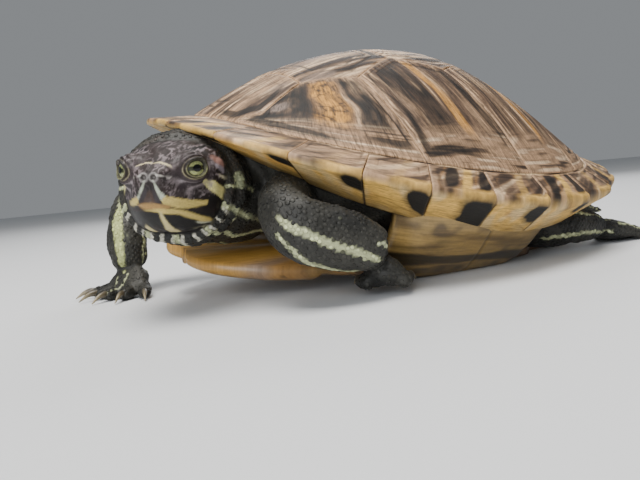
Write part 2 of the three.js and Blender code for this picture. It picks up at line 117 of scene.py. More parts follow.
# %% Poses of the body and the head
BODY_PITCH, BODY_ROLL, BODY_LIFT = 5, 10.5, 5.6
HEAD_PLACE = (-92.15, -29, 39.2)
HEAD_YAW, HEAD_PITCH, HEAD_ROLL = 49, -7, 4
EYE_RADIUS, EYE_FORWARD, EYE_OUT, EYE_UP = 4.2, 3.8, 7.2, 1.2


def turned(degrees, axis):
    return Matrix.Rotation(math.radians(degrees), 4, axis)


raw_head = Matrix.Translation(HEAD_PLACE) @ turned(HEAD_YAW, "Z") @ turned(HEAD_PITCH, "Y")
raw_head = raw_head @ turned(HEAD_ROLL, "X") @ Matrix.Diagonal((-1, -1, 1, 1))
eye_low, eye_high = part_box("eye_left")
SHIFT = (eye_low + eye_high) / 2 / MM - raw_head @ Vector((EYE_FORWARD, EYE_OUT, EYE_UP))
to_frame = Matrix.Translation(SHIFT)
head_matrix = to_frame @ raw_head
body_matrix = to_frame @ Matrix.Translation((0, 0, BODY_LIFT)) @ turned(BODY_PITCH, "Y")
body_matrix = body_matrix @ turned(BODY_ROLL, "X")


def carried(matrix, points):
    m = np.array(matrix)
    return np.asarray(points) @ m[:3, :3].T + m[:3, 3]


print("origin shift in mm:", tuple(round(s, 3) for s in SHIFT))

# %% [markdown]
# The camera and the lights come early, so that each new piece can be looked at straight away.
# The camera stands low, ahead of the turtle's left shoulder, and leans a few degrees. A big soft
# lamp overhead and a softer one beside the camera light it as in a studio, on a plain pale floor.

# %% Camera, lights and floor
AZIMUTH, ELEVATION, LEAN = (math.radians(a) for a in (-32.5, 5.2, -5.5))
CAMERA_PLACE = Vector((-153.2, -196.5, 33.2)) + SHIFT
back = Vector(
    (
        math.sin(AZIMUTH) * math.cos(ELEVATION),
        -math.cos(AZIMUTH) * math.cos(ELEVATION),
        math.sin(ELEVATION),
    )
)
level_right = (-back).cross(Vector((0, 0, 1))).normalized()
level_up = level_right.cross(-back)
right = math.cos(LEAN) * level_right + math.sin(LEAN) * level_up
up = math.cos(LEAN) * level_up - math.sin(LEAN) * level_right
camera_data = bpy.data.cameras.new("camera")
camera_data.sensor_fit = "HORIZONTAL"
camera_data.sensor_width = 36
camera_data.lens = 36 * 650 / 640
camera_data.clip_start = 0.005
camera = bpy.data.objects.new("camera", camera_data)
camera.matrix_world = Matrix.Translation(CAMERA_PLACE * MM) @ Matrix((right, up, back)).transposed().to_4x4()
bpy.context.scene.collection.objects.link(camera)
bpy.context.scene.camera = camera


def soft_lamp(name, place, target, size, watts, colour=(1, 1, 1)):
    data = bpy.data.lights.new(name, "AREA")
    data.size, data.energy, data.color = size, watts, colour
    lamp = bpy.data.objects.new(name, data)
    lamp.location = place
    lamp.rotation_euler = (Vector(target) - Vector(place)).to_track_quat("-Z", "Y").to_euler()
    bpy.context.scene.collection.objects.link(lamp)


soft_lamp("overhead", (-0.15, -0.1, 0.75), (0, 0, 0.03), 0.45, 9.5, (1, 0.97, 0.93))
soft_lamp("front_fill", (-0.62, -0.42, 0.26), (-0.05, 0, 0.04), 0.5, 4.6, (0.95, 0.97, 1))
soft_lamp("rear_rim", (0.45, 0.5, 0.45), (0, 0, 0.04), 0.4, 3.6)
world = bpy.data.worlds.new("studio")
world.use_nodes = True
world.node_tree.nodes["Background"].inputs["Color"].default_value = (0.82, 0.86, 0.9, 1)
world.node_tree.nodes["Background"].inputs["Strength"].default_value = 0.3
bpy.context.scene.world = world
print("camera at", [round(c, 4) for c in camera.location])

# %% [markdown]
# Every finish starts from colours painted on the mesh's own points, in an attribute called paint,
# and a second attribute called lie, which gives each point's place in millimetres across and along
# the grain. A noise read through lie runs with the grain of the horn or skin wherever the surface
# bends, which object coordinates alone could not do. Roughness and bump come from the same noise.

# %% Materials from painted points
def finish(name, grain, streak, bump, rough, coat=0.0, specular=0.5, darken=0.25, speckle=(0.9, 0.2)):
    """A material that reads paint and lie. grain is the streaks' width and length in mm."""
    m = bpy.data.materials.new(name)
    m.use_nodes = True
    nodes, links = m.node_tree.nodes, m.node_tree.links
    shader = nodes["Principled BSDF"]
    shader.inputs["Coat Weight"].default_value = coat
    shader.inputs["Coat Roughness"].default_value = 0.18
    shader.inputs["Specular IOR Level"].default_value = specular
    paint = nodes.new("ShaderNodeAttribute")
    paint.attribute_name = "paint"
    lie = nodes.new("ShaderNodeAttribute")
    lie.attribute_name = "lie"
    mapping = nodes.new("ShaderNodeMapping")
    mapping.inputs["Scale"].default_value = (1 / grain[0], 1 / grain[1], 1)
    links.new(lie.outputs["Vector"], mapping.inputs["Vector"])
    streaks = nodes.new("ShaderNodeTexNoise")
    streaks.inputs["Scale"].default_value = 1
    streaks.inputs["Detail"].default_value = 4
    streaks.inputs["Roughness"].default_value = 0.62
    links.new(mapping.outputs["Vector"], streaks.inputs["Vector"])
    place = nodes.new("ShaderNodeTexCoord")
    specks = nodes.new("ShaderNodeTexNoise")
    specks.inputs["Scale"].default_value = 1 / (speckle[0] * MM)
    specks.inputs["Detail"].default_value = 3
    links.new(place.outputs["Object"], specks.inputs["Vector"])
    both = nodes.new("ShaderNodeMix")
    both.inputs["Factor"].default_value = speckle[1]
    links.new(streaks.outputs["Fac"], both.inputs["A"])
    links.new(specks.outputs["Fac"], both.inputs["B"])
    wear = nodes.new("ShaderNodeMapRange")
    wear.inputs["From Min"].default_value = 0.34
    wear.inputs["From Max"].default_value = 0.66
    wear.inputs["To Min"].default_value = 1 - streak
    wear.inputs["To Max"].default_value = 1 + streak * (1 - darken)
    links.new(both.outputs["Result"], wear.inputs["Value"])
    tone = nodes.new("ShaderNodeVectorMath")
    tone.operation = "SCALE"
    links.new(paint.outputs["Color"], tone.inputs["Vector"])
    links.new(wear.outputs["Result"], tone.inputs["Scale"])
    links.new(tone.outputs["Vector"], shader.inputs["Base Color"])
    dull = nodes.new("ShaderNodeMapRange")
    dull.inputs["To Min"].default_value = rough[0]
    dull.inputs["To Max"].default_value = rough[1]
    links.new(both.outputs["Result"], dull.inputs["Value"])
    links.new(dull.outputs["Result"], shader.inputs["Roughness"])
    relief = nodes.new("ShaderNodeBump")
    relief.inputs["Strength"].default_value = bump[0]
    relief.inputs["Distance"].default_value = bump[1] * MM
    links.new(both.outputs["Result"], relief.inputs["Height"])
    links.new(relief.outputs["Normal"], shader.inputs["Normal"])
    return m


horn_finish = finish("weathered_horn", (0.42, 5.5), 0.7, (0.6, 0.28), (0.5, 0.78), 0.0, specular=0.3)
rim_finish = finish("worn_rim_horn", (0.5, 6.0), 0.5, (0.5, 0.22), (0.45, 0.7), 0.03, specular=0.35)
belly_finish = finish("belly_horn", (0.8, 9.0), 0.3, (0.3, 0.15), (0.3, 0.5), 0.15)
print("finishes:", [m.name for m in bpy.data.materials])

# %% [markdown]
# A plate of horn is modelled as a sheet: a grid is made, its rim is extruded down to a skirt and
# the skirt's edge is drawn together to close it, so the plate is a solid. Only then are all points
# carried to the curved shell by one function of their place in the grid. That keeps the rows of
# faces parallel to the plate's edges, as real growth rings are.

# %% Sheets that are carried onto the shell
def closed_sheet(columns, rows):
    """A grid over 0..1 by 0..1 with a skirt at z = -1, closed underneath."""
    bm = bmesh.new()
    bmesh.ops.create_grid(bm, x_segments=columns, y_segments=rows, size=0.5)
    bmesh.ops.translate(bm, verts=bm.verts, vec=(0.5, 0.5, 0))
    edges = [e for e in bm.edges if e.is_boundary]
    skirt = bmesh.ops.extrude_edge_only(bm, edges=edges)["geom"]
    bmesh.ops.translate(bm, verts=[v for v in skirt if isinstance(v, bmesh.types.BMVert)], vec=(0, 0, -1))
    edges = [e for e in bm.edges if e.is_boundary]
    ring = bmesh.ops.extrude_edge_only(bm, edges=edges)["geom"]
    bmesh.ops.pointmerge(
        bm, verts=[v for v in ring if isinstance(v, bmesh.types.BMVert)], merge_co=(0.5, 0.5, -1)
    )
    bmesh.ops.recalc_face_normals(bm, faces=bm.faces)
    return bm


def points_of(mesh):
    co = np.empty(len(mesh.vertices) * 3, np.float32)
    mesh.vertices.foreach_get("co", co)
    return co.reshape(-1, 3).astype(float)


def mesh_of(name, bm):
    """A mesh from an edit mesh, which is freed."""
    mesh = bpy.data.meshes.new(name)
    bm.to_mesh(mesh)
    bm.free()
    return mesh


def give_points(mesh, points):
    mesh.vertices.foreach_set("co", np.ascontiguousarray(points, np.float32).ravel())
    mesh.update()


def give_paint(mesh, paint, lie):
    layer = mesh.attributes.new("paint", "FLOAT_COLOR", "POINT")
    layer.data.foreach_set("color", np.c_[np.clip(paint, 0, 1), np.ones(len(paint))].astype(np.float32).ravel())
    layer = mesh.attributes.new("lie", "FLOAT_VECTOR", "POINT")
    layer.data.foreach_set("vector", np.ascontiguousarray(lie, np.float32).ravel())


def faces_out(mesh):
    """Turns the faces of a closed mesh outward, by the sign of its volume."""
    bm = bmesh.new()
    bm.from_mesh(mesh)
    if bm.calc_volume(signed=True) < 0:
        bmesh.ops.reverse_faces(bm, faces=bm.faces)
        bm.to_mesh(mesh)
    bm.free()


def piece(name, mesh, material, nodes):
    """Puts a finished mesh in the scene, riding on the one body."""
    thing = bpy.data.objects.new(name, mesh)
    bpy.context.scene.collection.objects.link(thing)
    mesh.materials.clear()
    mesh.materials.append(material)
    mesh.shade_smooth()
    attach(thing, "root")
    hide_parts(*nodes)
    return thing


def sheet_mesh(name, bm, place):
    """A mesh from a sheet whose points (u, v, depth) are carried by place, with paint and lie."""
    mesh = mesh_of(name, bm)
    spot = points_of(mesh)
    points, paint, lie = place(spot[:, 0], spot[:, 1], spot[:, 2])
    give_points(mesh, carried(body_matrix, points) * MM)
    give_paint(mesh, paint, lie)
    return mesh


sample = closed_sheet(4, 3)
print("a sheet of 4 by 3 has", len(sample.verts), "points and", len(sample.faces), "faces")
sample.free()

# %% [markdown]
# The carapace is one dome. Its edge is an oval that rises towards the front and the rear, and from
# the crown its height falls by a power of the way out, rounder at the sides than behind. The same
# numbers made the CAD solids, so a plate made from them lies on its solid.

# %% Shape of the dome
SHELL_LENGTH, SHELL_HALF_WIDTH, SHELL_HEIGHT = 180, 68.2, 72.3
RIM_HEIGHT = (43.3, 29, 38.4)  # front, side, rear
REAR_SPREAD = 0.04
RIM_EDGE = 1.5
MARGINAL_DEPTH = (8, 18, 7)
MARGINAL_START = (0.83, 0.875, 0.83)
FALL_AT_MARGINAL = (0.94, 0.84, 0.90)
CROWN_ROUNDNESS = (2.2, 2, 1.3)


def around(values, turn):
    front, side, rear = values
    c = np.cos(turn)
    return side + (front - side) * np.maximum(0, c) ** 2 + (rear - side) * np.maximum(0, -c) ** 2


def rim(turn):
    """Edge of the shell: turn is 0 at the neck, PI at the tail, positive on the right."""
    x = -SHELL_LENGTH / 2 * np.cos(turn)
    y = np.sign(np.sin(turn)) * SHELL_HALF_WIDTH * (1 - REAR_SPREAD * np.cos(turn))
    y = y * np.abs(np.sin(turn)) ** 0.92
    a = x / SHELL_LENGTH + 0.5
    front, side, rear = RIM_HEIGHT
    z = front * (1 - a) * (1 - 2 * a) + side * 4 * a * (1 - a) + rear * a * (2 * a - 1)
    return np.stack([x, y, z], -1)


walk_turn = np.linspace(0, math.pi, 721)
walk = rim(walk_turn)
walk_distance = np.r_[0, np.cumsum(np.linalg.norm(np.diff(walk[:, :2], axis=0), axis=1))]
walk_angle = np.arctan2(walk[:, 1], -walk[:, 0])
walk_radius = np.hypot(walk[:, 0], walk[:, 1])


def dome(x, y):
    """Height, turn and share (0 at the crown, 1 at the rim) over a point of the plan."""
    angle = np.arctan2(np.abs(y), -x)
    turn = np.interp(angle, walk_angle, walk_turn)
    share = np.hypot(x, y) / np.interp(angle, walk_angle, walk_radius)
    seam, fallen = around(MARGINAL_START, turn), around(FALL_AT_MARGINAL, turn)
    fall = fallen * (np.minimum(share, seam) / seam) ** around(CROWN_ROUNDNESS, turn)
    fall = fall + np.maximum(0, share - seam) * (1 - fallen) / (1 - seam)
    edge = rim(turn)
    return SHELL_HEIGHT - (SHELL_HEIGHT - edge[..., 2]) * fall, turn, share


def dome_normal(x, y, reach=0.8):
    """Outward normal of the dome; a wide reach softens the crease above the marginals."""
    dx = (dome(x + reach, y)[0] - dome(x - reach, y)[0]) / (2 * reach)
    dy = (dome(x, y + reach)[0] - dome(x, y - reach)[0]) / (2 * reach)
    n = np.stack([-dx, -dy, np.ones_like(dx)], -1)
    return n / np.linalg.norm(n, axis=1)[:, None]


print("crown height", dome(np.array([0.01]), np.array([0.0]))[0])

# %% [markdown]
# A slider's carapace has 13 large plates, the scutes: five vertebrals along the back, each six
# sided, and four costals down each side. Round them are 24 marginals and a small nuchal at the
# neck. Their outlines are a few corners in plan, the same as in the CAD, joined by straight seams,
# and by an arc where they meet the marginals.

# %% Outlines of the scutes
NUCHAL_HALF_WIDTH = 6
MARGINAL_WIDTHS = (21, 22, 20, 19.6, 20.9, 22, 23, 23.1, 21.9, 19.8, 17.6, 14.1)
marginal_seams = NUCHAL_HALF_WIDTH + np.r_[0, np.cumsum(MARGINAL_WIDTHS)]
RIM_WALK = marginal_seams[-1]
CORNER_1, SEAM_12, CORNER_2, SEAM_23 = (-66, 20), (-52, 17), (-36, 24.5), (-19, 16.5)
CORNER_3, SEAM_34, CORNER_4, SEAM_45 = (-2, 25), (15, 16), (31, 23), (47, 12.5)
FIRST_COSTAL_FROM, LAST_COSTAL_TO = 17, 224
SEAM_C12, SEAM_C23, SEAM_C34 = marginal_seams[4], marginal_seams[6], marginal_seams[7] + 11.5


def turn_at(distance):
    """Turn at a distance along the rim from the front; a negative one is on the left."""
    turn = np.interp(np.abs(distance) / RIM_WALK * walk_distance[-1], walk_distance, walk_turn)
    return np.sign(distance) * turn


def seam_arc(start, end, steps=16):
    """Plan points along the inner end of the marginals."""
    turn = turn_at(np.linspace(start, end, steps))
    return rim(turn)[:, :2] * around(MARGINAL_START, turn)[:, None]


def line(*corners):
    return np.array(corners, float)


def mirrored(points, side):
    return np.asarray(points, float) * (1, side)


def vertebral_edges(i):
    """Front, rear, left and right edges in plan of vertebral i."""
    rows = [
        (None, line(CORNER_1, SEAM_12), SEAM_12),
        (SEAM_12, line(SEAM_12, CORNER_2, SEAM_23), SEAM_23),
        (SEAM_23, line(SEAM_23, CORNER_3, SEAM_34), SEAM_34),
        (SEAM_34, line(SEAM_34, CORNER_4, SEAM_45), SEAM_45),
        (SEAM_45, None, None),
    ]
    front, side, rear = rows[i - 1]
    if i == 1:
        front_edge = seam_arc(-FIRST_COSTAL_FROM, FIRST_COSTAL_FROM)
        side = np.vstack([front_edge[-1], side])
    else:
        front_edge = line((front[0], -front[1]), front)
    if i == 5:
        half = seam_arc(LAST_COSTAL_TO, RIM_WALK - 0.01)
        rear_edge = np.vstack([mirrored(half, -1), half[::-1]])
        side = np.vstack([front, half[0]])
    else:
        rear_edge = line((rear[0], -rear[1]), rear)
    return front_edge, rear_edge, mirrored(side, -1), side


def costal_edges(i, side):
    """Front, rear, top and bottom edges in plan of costal i; side is -1 on the left."""
    starts = [FIRST_COSTAL_FROM, SEAM_C12, SEAM_C23, SEAM_C34, LAST_COSTAL_TO]
    tops = [
        line(CORNER_1, SEAM_12, CORNER_2),
        line(CORNER_2, SEAM_23, CORNER_3),
        line(CORNER_3, SEAM_34, CORNER_4),
        line(CORNER_4, SEAM_45),
    ]
    bottom = seam_arc(starts[i - 1], starts[i])
    top = tops[i - 1]
    edges = line(top[0], bottom[0]), line(top[-1], bottom[-1]), top, bottom
    return tuple(mirrored(e, side) for e in edges)


def at_share(edge, t):
    """Points at shares t of an edge's length."""
    walked = np.r_[0, np.cumsum(np.linalg.norm(np.diff(edge, axis=0), axis=1))]
    return np.stack([np.interp(t * walked[-1], walked, edge[:, k]) for k in (0, 1)], -1)


def spread_between(v_start, v_end, u_start, u_end, u, v):
    """Point of a four-edged patch: u runs along v_start and v_end, v along the other two."""
    a, b = at_share(v_start, u), at_share(v_end, u)
    c, d = at_share(u_start, v), at_share(u_end, v)
    u, v = u[:, None], v[:, None]
    corners = (1 - v) * ((1 - u) * v_start[0] + u * v_start[-1]) + v * ((1 - u) * v_end[0] + u * v_end[-1])
    return (1 - v) * a + v * b + (1 - u) * c + u * d - corners


def distance_to(edge, points):
    """Distance in plan from points to a line of corners."""
    best = np.full(len(points), 1e9)
    for a, b in zip(edge[:-1], edge[1:]):
        d = b - a
        t = np.clip(((points - a) @ d) / max(1e-9, d @ d), 0, 1)
        best = np.minimum(best, np.linalg.norm(points - a - t[:, None] * d, axis=1))
    return best


print("vertebral 3 is", (np.ptp(vertebral_edges(3)[3][:, 0])), "mm long")

# %% [markdown]
# An old slider's horn is weathered. Growth rings run parallel to a scute's edges, finest near the
# seams, and dark pigment shows in bars and rings under tan horn. Each scute is a sheet on the dome
# with a rounded edge. Its rings and grain are small moves of its points along the normal, so they
# are in the mesh as well as in the finish, and one table per scute says where its bars are.

# %% Grain, rings and bars of the carapace scutes
CREAM, TAN, BROWN, UMBER, CHARCOAL = "b08f6e", "66503e", "382a21", "211814", "0e0c0b"
GOLD, OCHRE, LILAC = "b98438", "8a6331", "7a6a60"
SEAM_GAP = 0.13
# Bars across each costal: share of the way from front to rear, half width, lean, colour, strength.
COSTAL_BARS = {
    1: [(0.20, 0.13, 0.0, CHARCOAL, 0.85), (0.43, 0.08, 0.02, CHARCOAL, 0.97), (0.61, 0.12, 0.0, OCHRE, 0.95),
        (0.60, 0.06, 0.05, GOLD, 0.8), (0.86, 0.085, 0.02, CHARCOAL, 0.95)],
    2: [(0.14, 0.08, 0.0, BROWN, 0.6), (0.38, 0.13, 0.05, CHARCOAL, 0.95), (0.60, 0.05, 0.02, GOLD, 0.95),
        (0.74, 0.08, 0.0, BROWN, 0.7), (0.92, 0.05, 0.03, CHARCOAL, 0.9)],
    3: [(0.22, 0.07, 0.0, BROWN, 0.5), (0.46, 0.07, 0.04, UMBER, 0.85), (0.62, 0.045, 0.0, GOLD, 0.7),
        (0.80, 0.07, 0.04, CHARCOAL, 0.85)],
    4: [(0.30, 0.08, 0.05, UMBER, 0.75), (0.52, 0.05, 0.0, GOLD, 0.5), (0.74, 0.09, 0.04, CHARCOAL, 0.8)],
}


def edge_profile(distance, width=0.9, drop=0.5):
    """How far a plate's surface falls towards its edge."""
    return -drop * (1 - np.sqrt(np.clip(1 - (1 - np.minimum(distance / width, 1)) ** 2, 0, 1)))


def crowd(t):
    """Spaces rows closer together near both edges of a sheet."""
    return 0.45 * t + 0.55 * (1 - np.cos(np.pi * t)) / 2


def on_dome(plan, depth, lift):
    """Points of the dome over a plan, raised by lift; the skirt goes inwards."""
    x, y = plan.T
    n = dome_normal(x, y)
    base = np.c_[x, y, dome(x, y)[0]]
    return base + n * np.where(depth < -0.5, -2.6, lift)[:, None]


def scute(name, edges, flip, seed, paint_of, columns, rows, stretch=(1, 1, 1.5, 1.5)):
    v_start, v_end, u_start, u_end = edges

    def place(u, v, depth):
        size = 34.0
        u, v = (SEAM_GAP / size + (1 - 2 * SEAM_GAP / size) * crowd(t) for t in (u, v))
        plan = spread_between(v_start, v_end, u_start, u_end, u, v)
        away = [distance_to(e, plan) for e in (v_start, v_end, u_start, u_end)]
        near = np.min(away, axis=0)
        growth = np.min([a * s for a, s in zip(away, stretch)], axis=0)
        wander = 1.6 * cloud(np.c_[plan / 11, growth * 0], 1.0, seed)
        ring = cloud(np.c_[growth + wander, plan / 26], (1.15, 1, 1), seed)
        fine = cloud(np.c_[growth + wander, plan / 20], (0.55, 1, 1), seed + 1)
        fade = np.exp(-growth / 7)
        paint, along, across, streak = paint_of(u, v, plan, near, growth, ring, seed)
        lift = edge_profile(near) + fade * (0.22 * ring + 0.12 * fine) + 0.13 * streak
        lift = lift + 0.35 * cloud(np.c_[plan, near * 0], (13, 13, 1), seed + 2) * ease(near, 0, 6)
        dark_line = ease(-ring, 0.12, 0.5) * ease(growth, 0.6, 1.6) * (1 - ease(growth, 5, 11))
        paint = lay(paint, CHARCOAL, 0.85 * dark_line)
        paint = lay(paint, CREAM, 0.75 * (1 - ease(near, 0.25, 0.9)))
        lie = np.c_[across, along, np.full(len(u), seed * 3.7)]
        return on_dome(plan, depth, lift), paint, lie

    mesh = sheet_mesh(name, closed_sheet(columns, rows), place)
    if flip:
        mesh.flip_normals()
    return piece(name, mesh, horn_finish, [name])


def streaks(across, along, width, length, seed):
    return layered(np.c_[across, along, across * 0 + seed], (width, length, 1), seed)


def vertebral_paint(i):
    def paint_of(u, v, plan, near, growth, ring, seed):
        x, y = plan.T
        bow = y + 1.8 * cloud(np.c_[x, y, x * 0], (16, 9, 1), seed)
        streak = streaks(bow, x, 1.3, 16, seed)
        wide = streaks(bow, x, 4.2, 22, seed + 3)
        paint = plain(CREAM, x)
        paint = lay(paint, TAN, 0.55 + 0.9 * wide)
        paint = lay(paint, BROWN, ease(streak + 0.5 * wide, 0.02, 0.4) * 0.9)
        paint = lay(paint, UMBER, ease(streak, 0.34, 0.6) * 0.8)
        side_bar = hill(np.abs(y), 12.5, 2.2) * ease(wide + 0.3, -0.1, 0.5)
        paint = lay(paint, UMBER, side_bar * (0.75 if i != 1 else 0.35))
        patch = ease(cloud(np.c_[x, y, x * 0], (9, 6, 1), seed + 8), 0.25, 0.6)
        paint = lay(paint, LILAC, 0.5 * patch)
        paint = lay(paint, "d9bb97", ease(-streak, 0.18, 0.5) * 0.85)
        return paint, x, bow, streak

    return paint_of


def costal_paint(i):
    def paint_of(u, v, plan, near, growth, ring, seed):
        bow = u + 0.035 * cloud(np.c_[v * 5, u * 2, u * 0], 1.0, seed)
        across, along = bow * 42, v * 46
        streak = streaks(across, along, 1.2, 15, seed)
        level = streaks(along, across, 1.1, 17, seed + 4)
        wide = streaks(across, along, 4.5, 24, seed + 3)
        low = ease(v, 0.66, 0.84)
        paint = plain(TAN, u)
        paint = lay(paint, CREAM, 0.25 + 0.8 * wide)
        paint = lay(paint, BROWN, ease(streak, -0.05, 0.4) * 0.85 * (1 - low))
        paint = lay(paint, "cfae88", ease(-streak, 0.2, 0.5) * 0.7 * (1 - low))
        wavy_row = v + 0.05 * cloud(np.c_[u * 14, v * 0, v * 0], 1.0, seed)
        reach = ease(v, 0.02, 0.12) * (1 - ease(wavy_row, 0.74, 0.86))
        for spot, half, lean, colour, strength in COSTAL_BARS[i]:
            wobble = 0.028 * cloud(np.c_[v * 7, u * 0 + spot * 9, u * 0], 1.0, seed + 6)
            off = np.abs(bow - spot - lean * (v - 0.5) * 2 + wobble) / half
            patchy = 0.75 + 0.5 * layered(np.c_[across, along, u * 0], (3.2, 6.5, 1), seed + 7)
            bar_cover = (1 - ease(off, 0.72, 1.18)) * strength * reach * np.clip(patchy, 0.35, 1)
            paint = lay(paint, colour, bar_cover)
        if i == 1:
            ring_off = np.hypot((bow - 0.25) / 0.2, (v - 0.42) / 0.26)
            paint = lay(paint, LILAC, (1 - ease(ring_off, 0.3, 0.62)) * 0.85)
            paint = lay(paint, CHARCOAL, hill(ring_off, 0.95, 0.22) * 0.8)
            net = np.abs(layered(np.c_[across, along, u * 0], (3.4, 4.6, 1), seed + 9))
            gold = (1 - ease(np.abs(bow - 0.62) / 0.11, 0.7, 1.1)) * reach
            paint = lay(paint, UMBER, gold * (1 - ease(net, 0.02, 0.09)) * 0.8)
            paint = lay(paint, GOLD, gold * ease(net, 0.16, 0.4) * 0.85)
        bottom = lay(lay(plain(TAN, u), CREAM, 0.5 + level), BROWN, ease(level, 0.15, 0.5) * 0.8)
        bottom = lay(bottom, "d8bc9a", ease(-level, 0.18, 0.5) * 0.8)
        bottom = lay(bottom, UMBER, ease(level, 0.36, 0.6) * 0.8)
        paint = lay(paint, bottom, low * 0.85)
        paint = lay(paint, CHARCOAL, low * 0.5 * ease(level, 0.3, 0.6) * ease(bow, 0.6, 0.8))
        return paint, along, across, streak * (1 - low) + level * low

    return paint_of


for i in range(1, 6):
    scute(f"vertebral_{i}", vertebral_edges(i), True, 10 + i, vertebral_paint(i), 88, 80, (1, 1, 1, 1))
for i in range(1, 5):
    for name, side in (("left", -1), ("right", 1)):
        front, rear, top, bottom = costal_edges(i, side)
        edges = (top, bottom, front, rear)
        costal_seed = 20 + 2 * i + (side > 0)
        scute(f"costal_{name}_{i}", edges, side < 0, costal_seed, costal_paint(i), 112, 112, (2.2, 1, 1, 2.0))
print("13 scutes on the dome")

# %% [markdown]
# The marginals roll over the shell's edge. Each is a sheet whose rows start at the seam with the
# costals, run out over the top, turn round the thin edge and come back underneath, where the horn
# is yellow with a black blotch in front of each seam. Underneath they deepen inwards, most at the
# bridge, where they meet the plastron's side. Behind, each has a small notch at its seam.

# %% Marginals and nuchal
YELLOW, AMBER, OLIVE, BLACK = "cda455", "b07f3c", "776239", "16130f"
# Strength of the yellow bar and dark blobs on top, and half width and drop in mm of the blotch below.
MARGINAL_BARS = (0.9, 0.55, 0.1, 0.2, 1.0, 0.4, 1.0, 0.5, 0.7, 0.8, 0.8, 0.8)
MARGINAL_BLOTCH = (
    (3.2, 4), (3.6, 5), (4.0, 7), (4.2, 10), (6.6, 15), (4.6, 7),
    (3.6, 5), (4, 5), (4, 5), (4, 5), (3.5, 4), (3, 4),
)


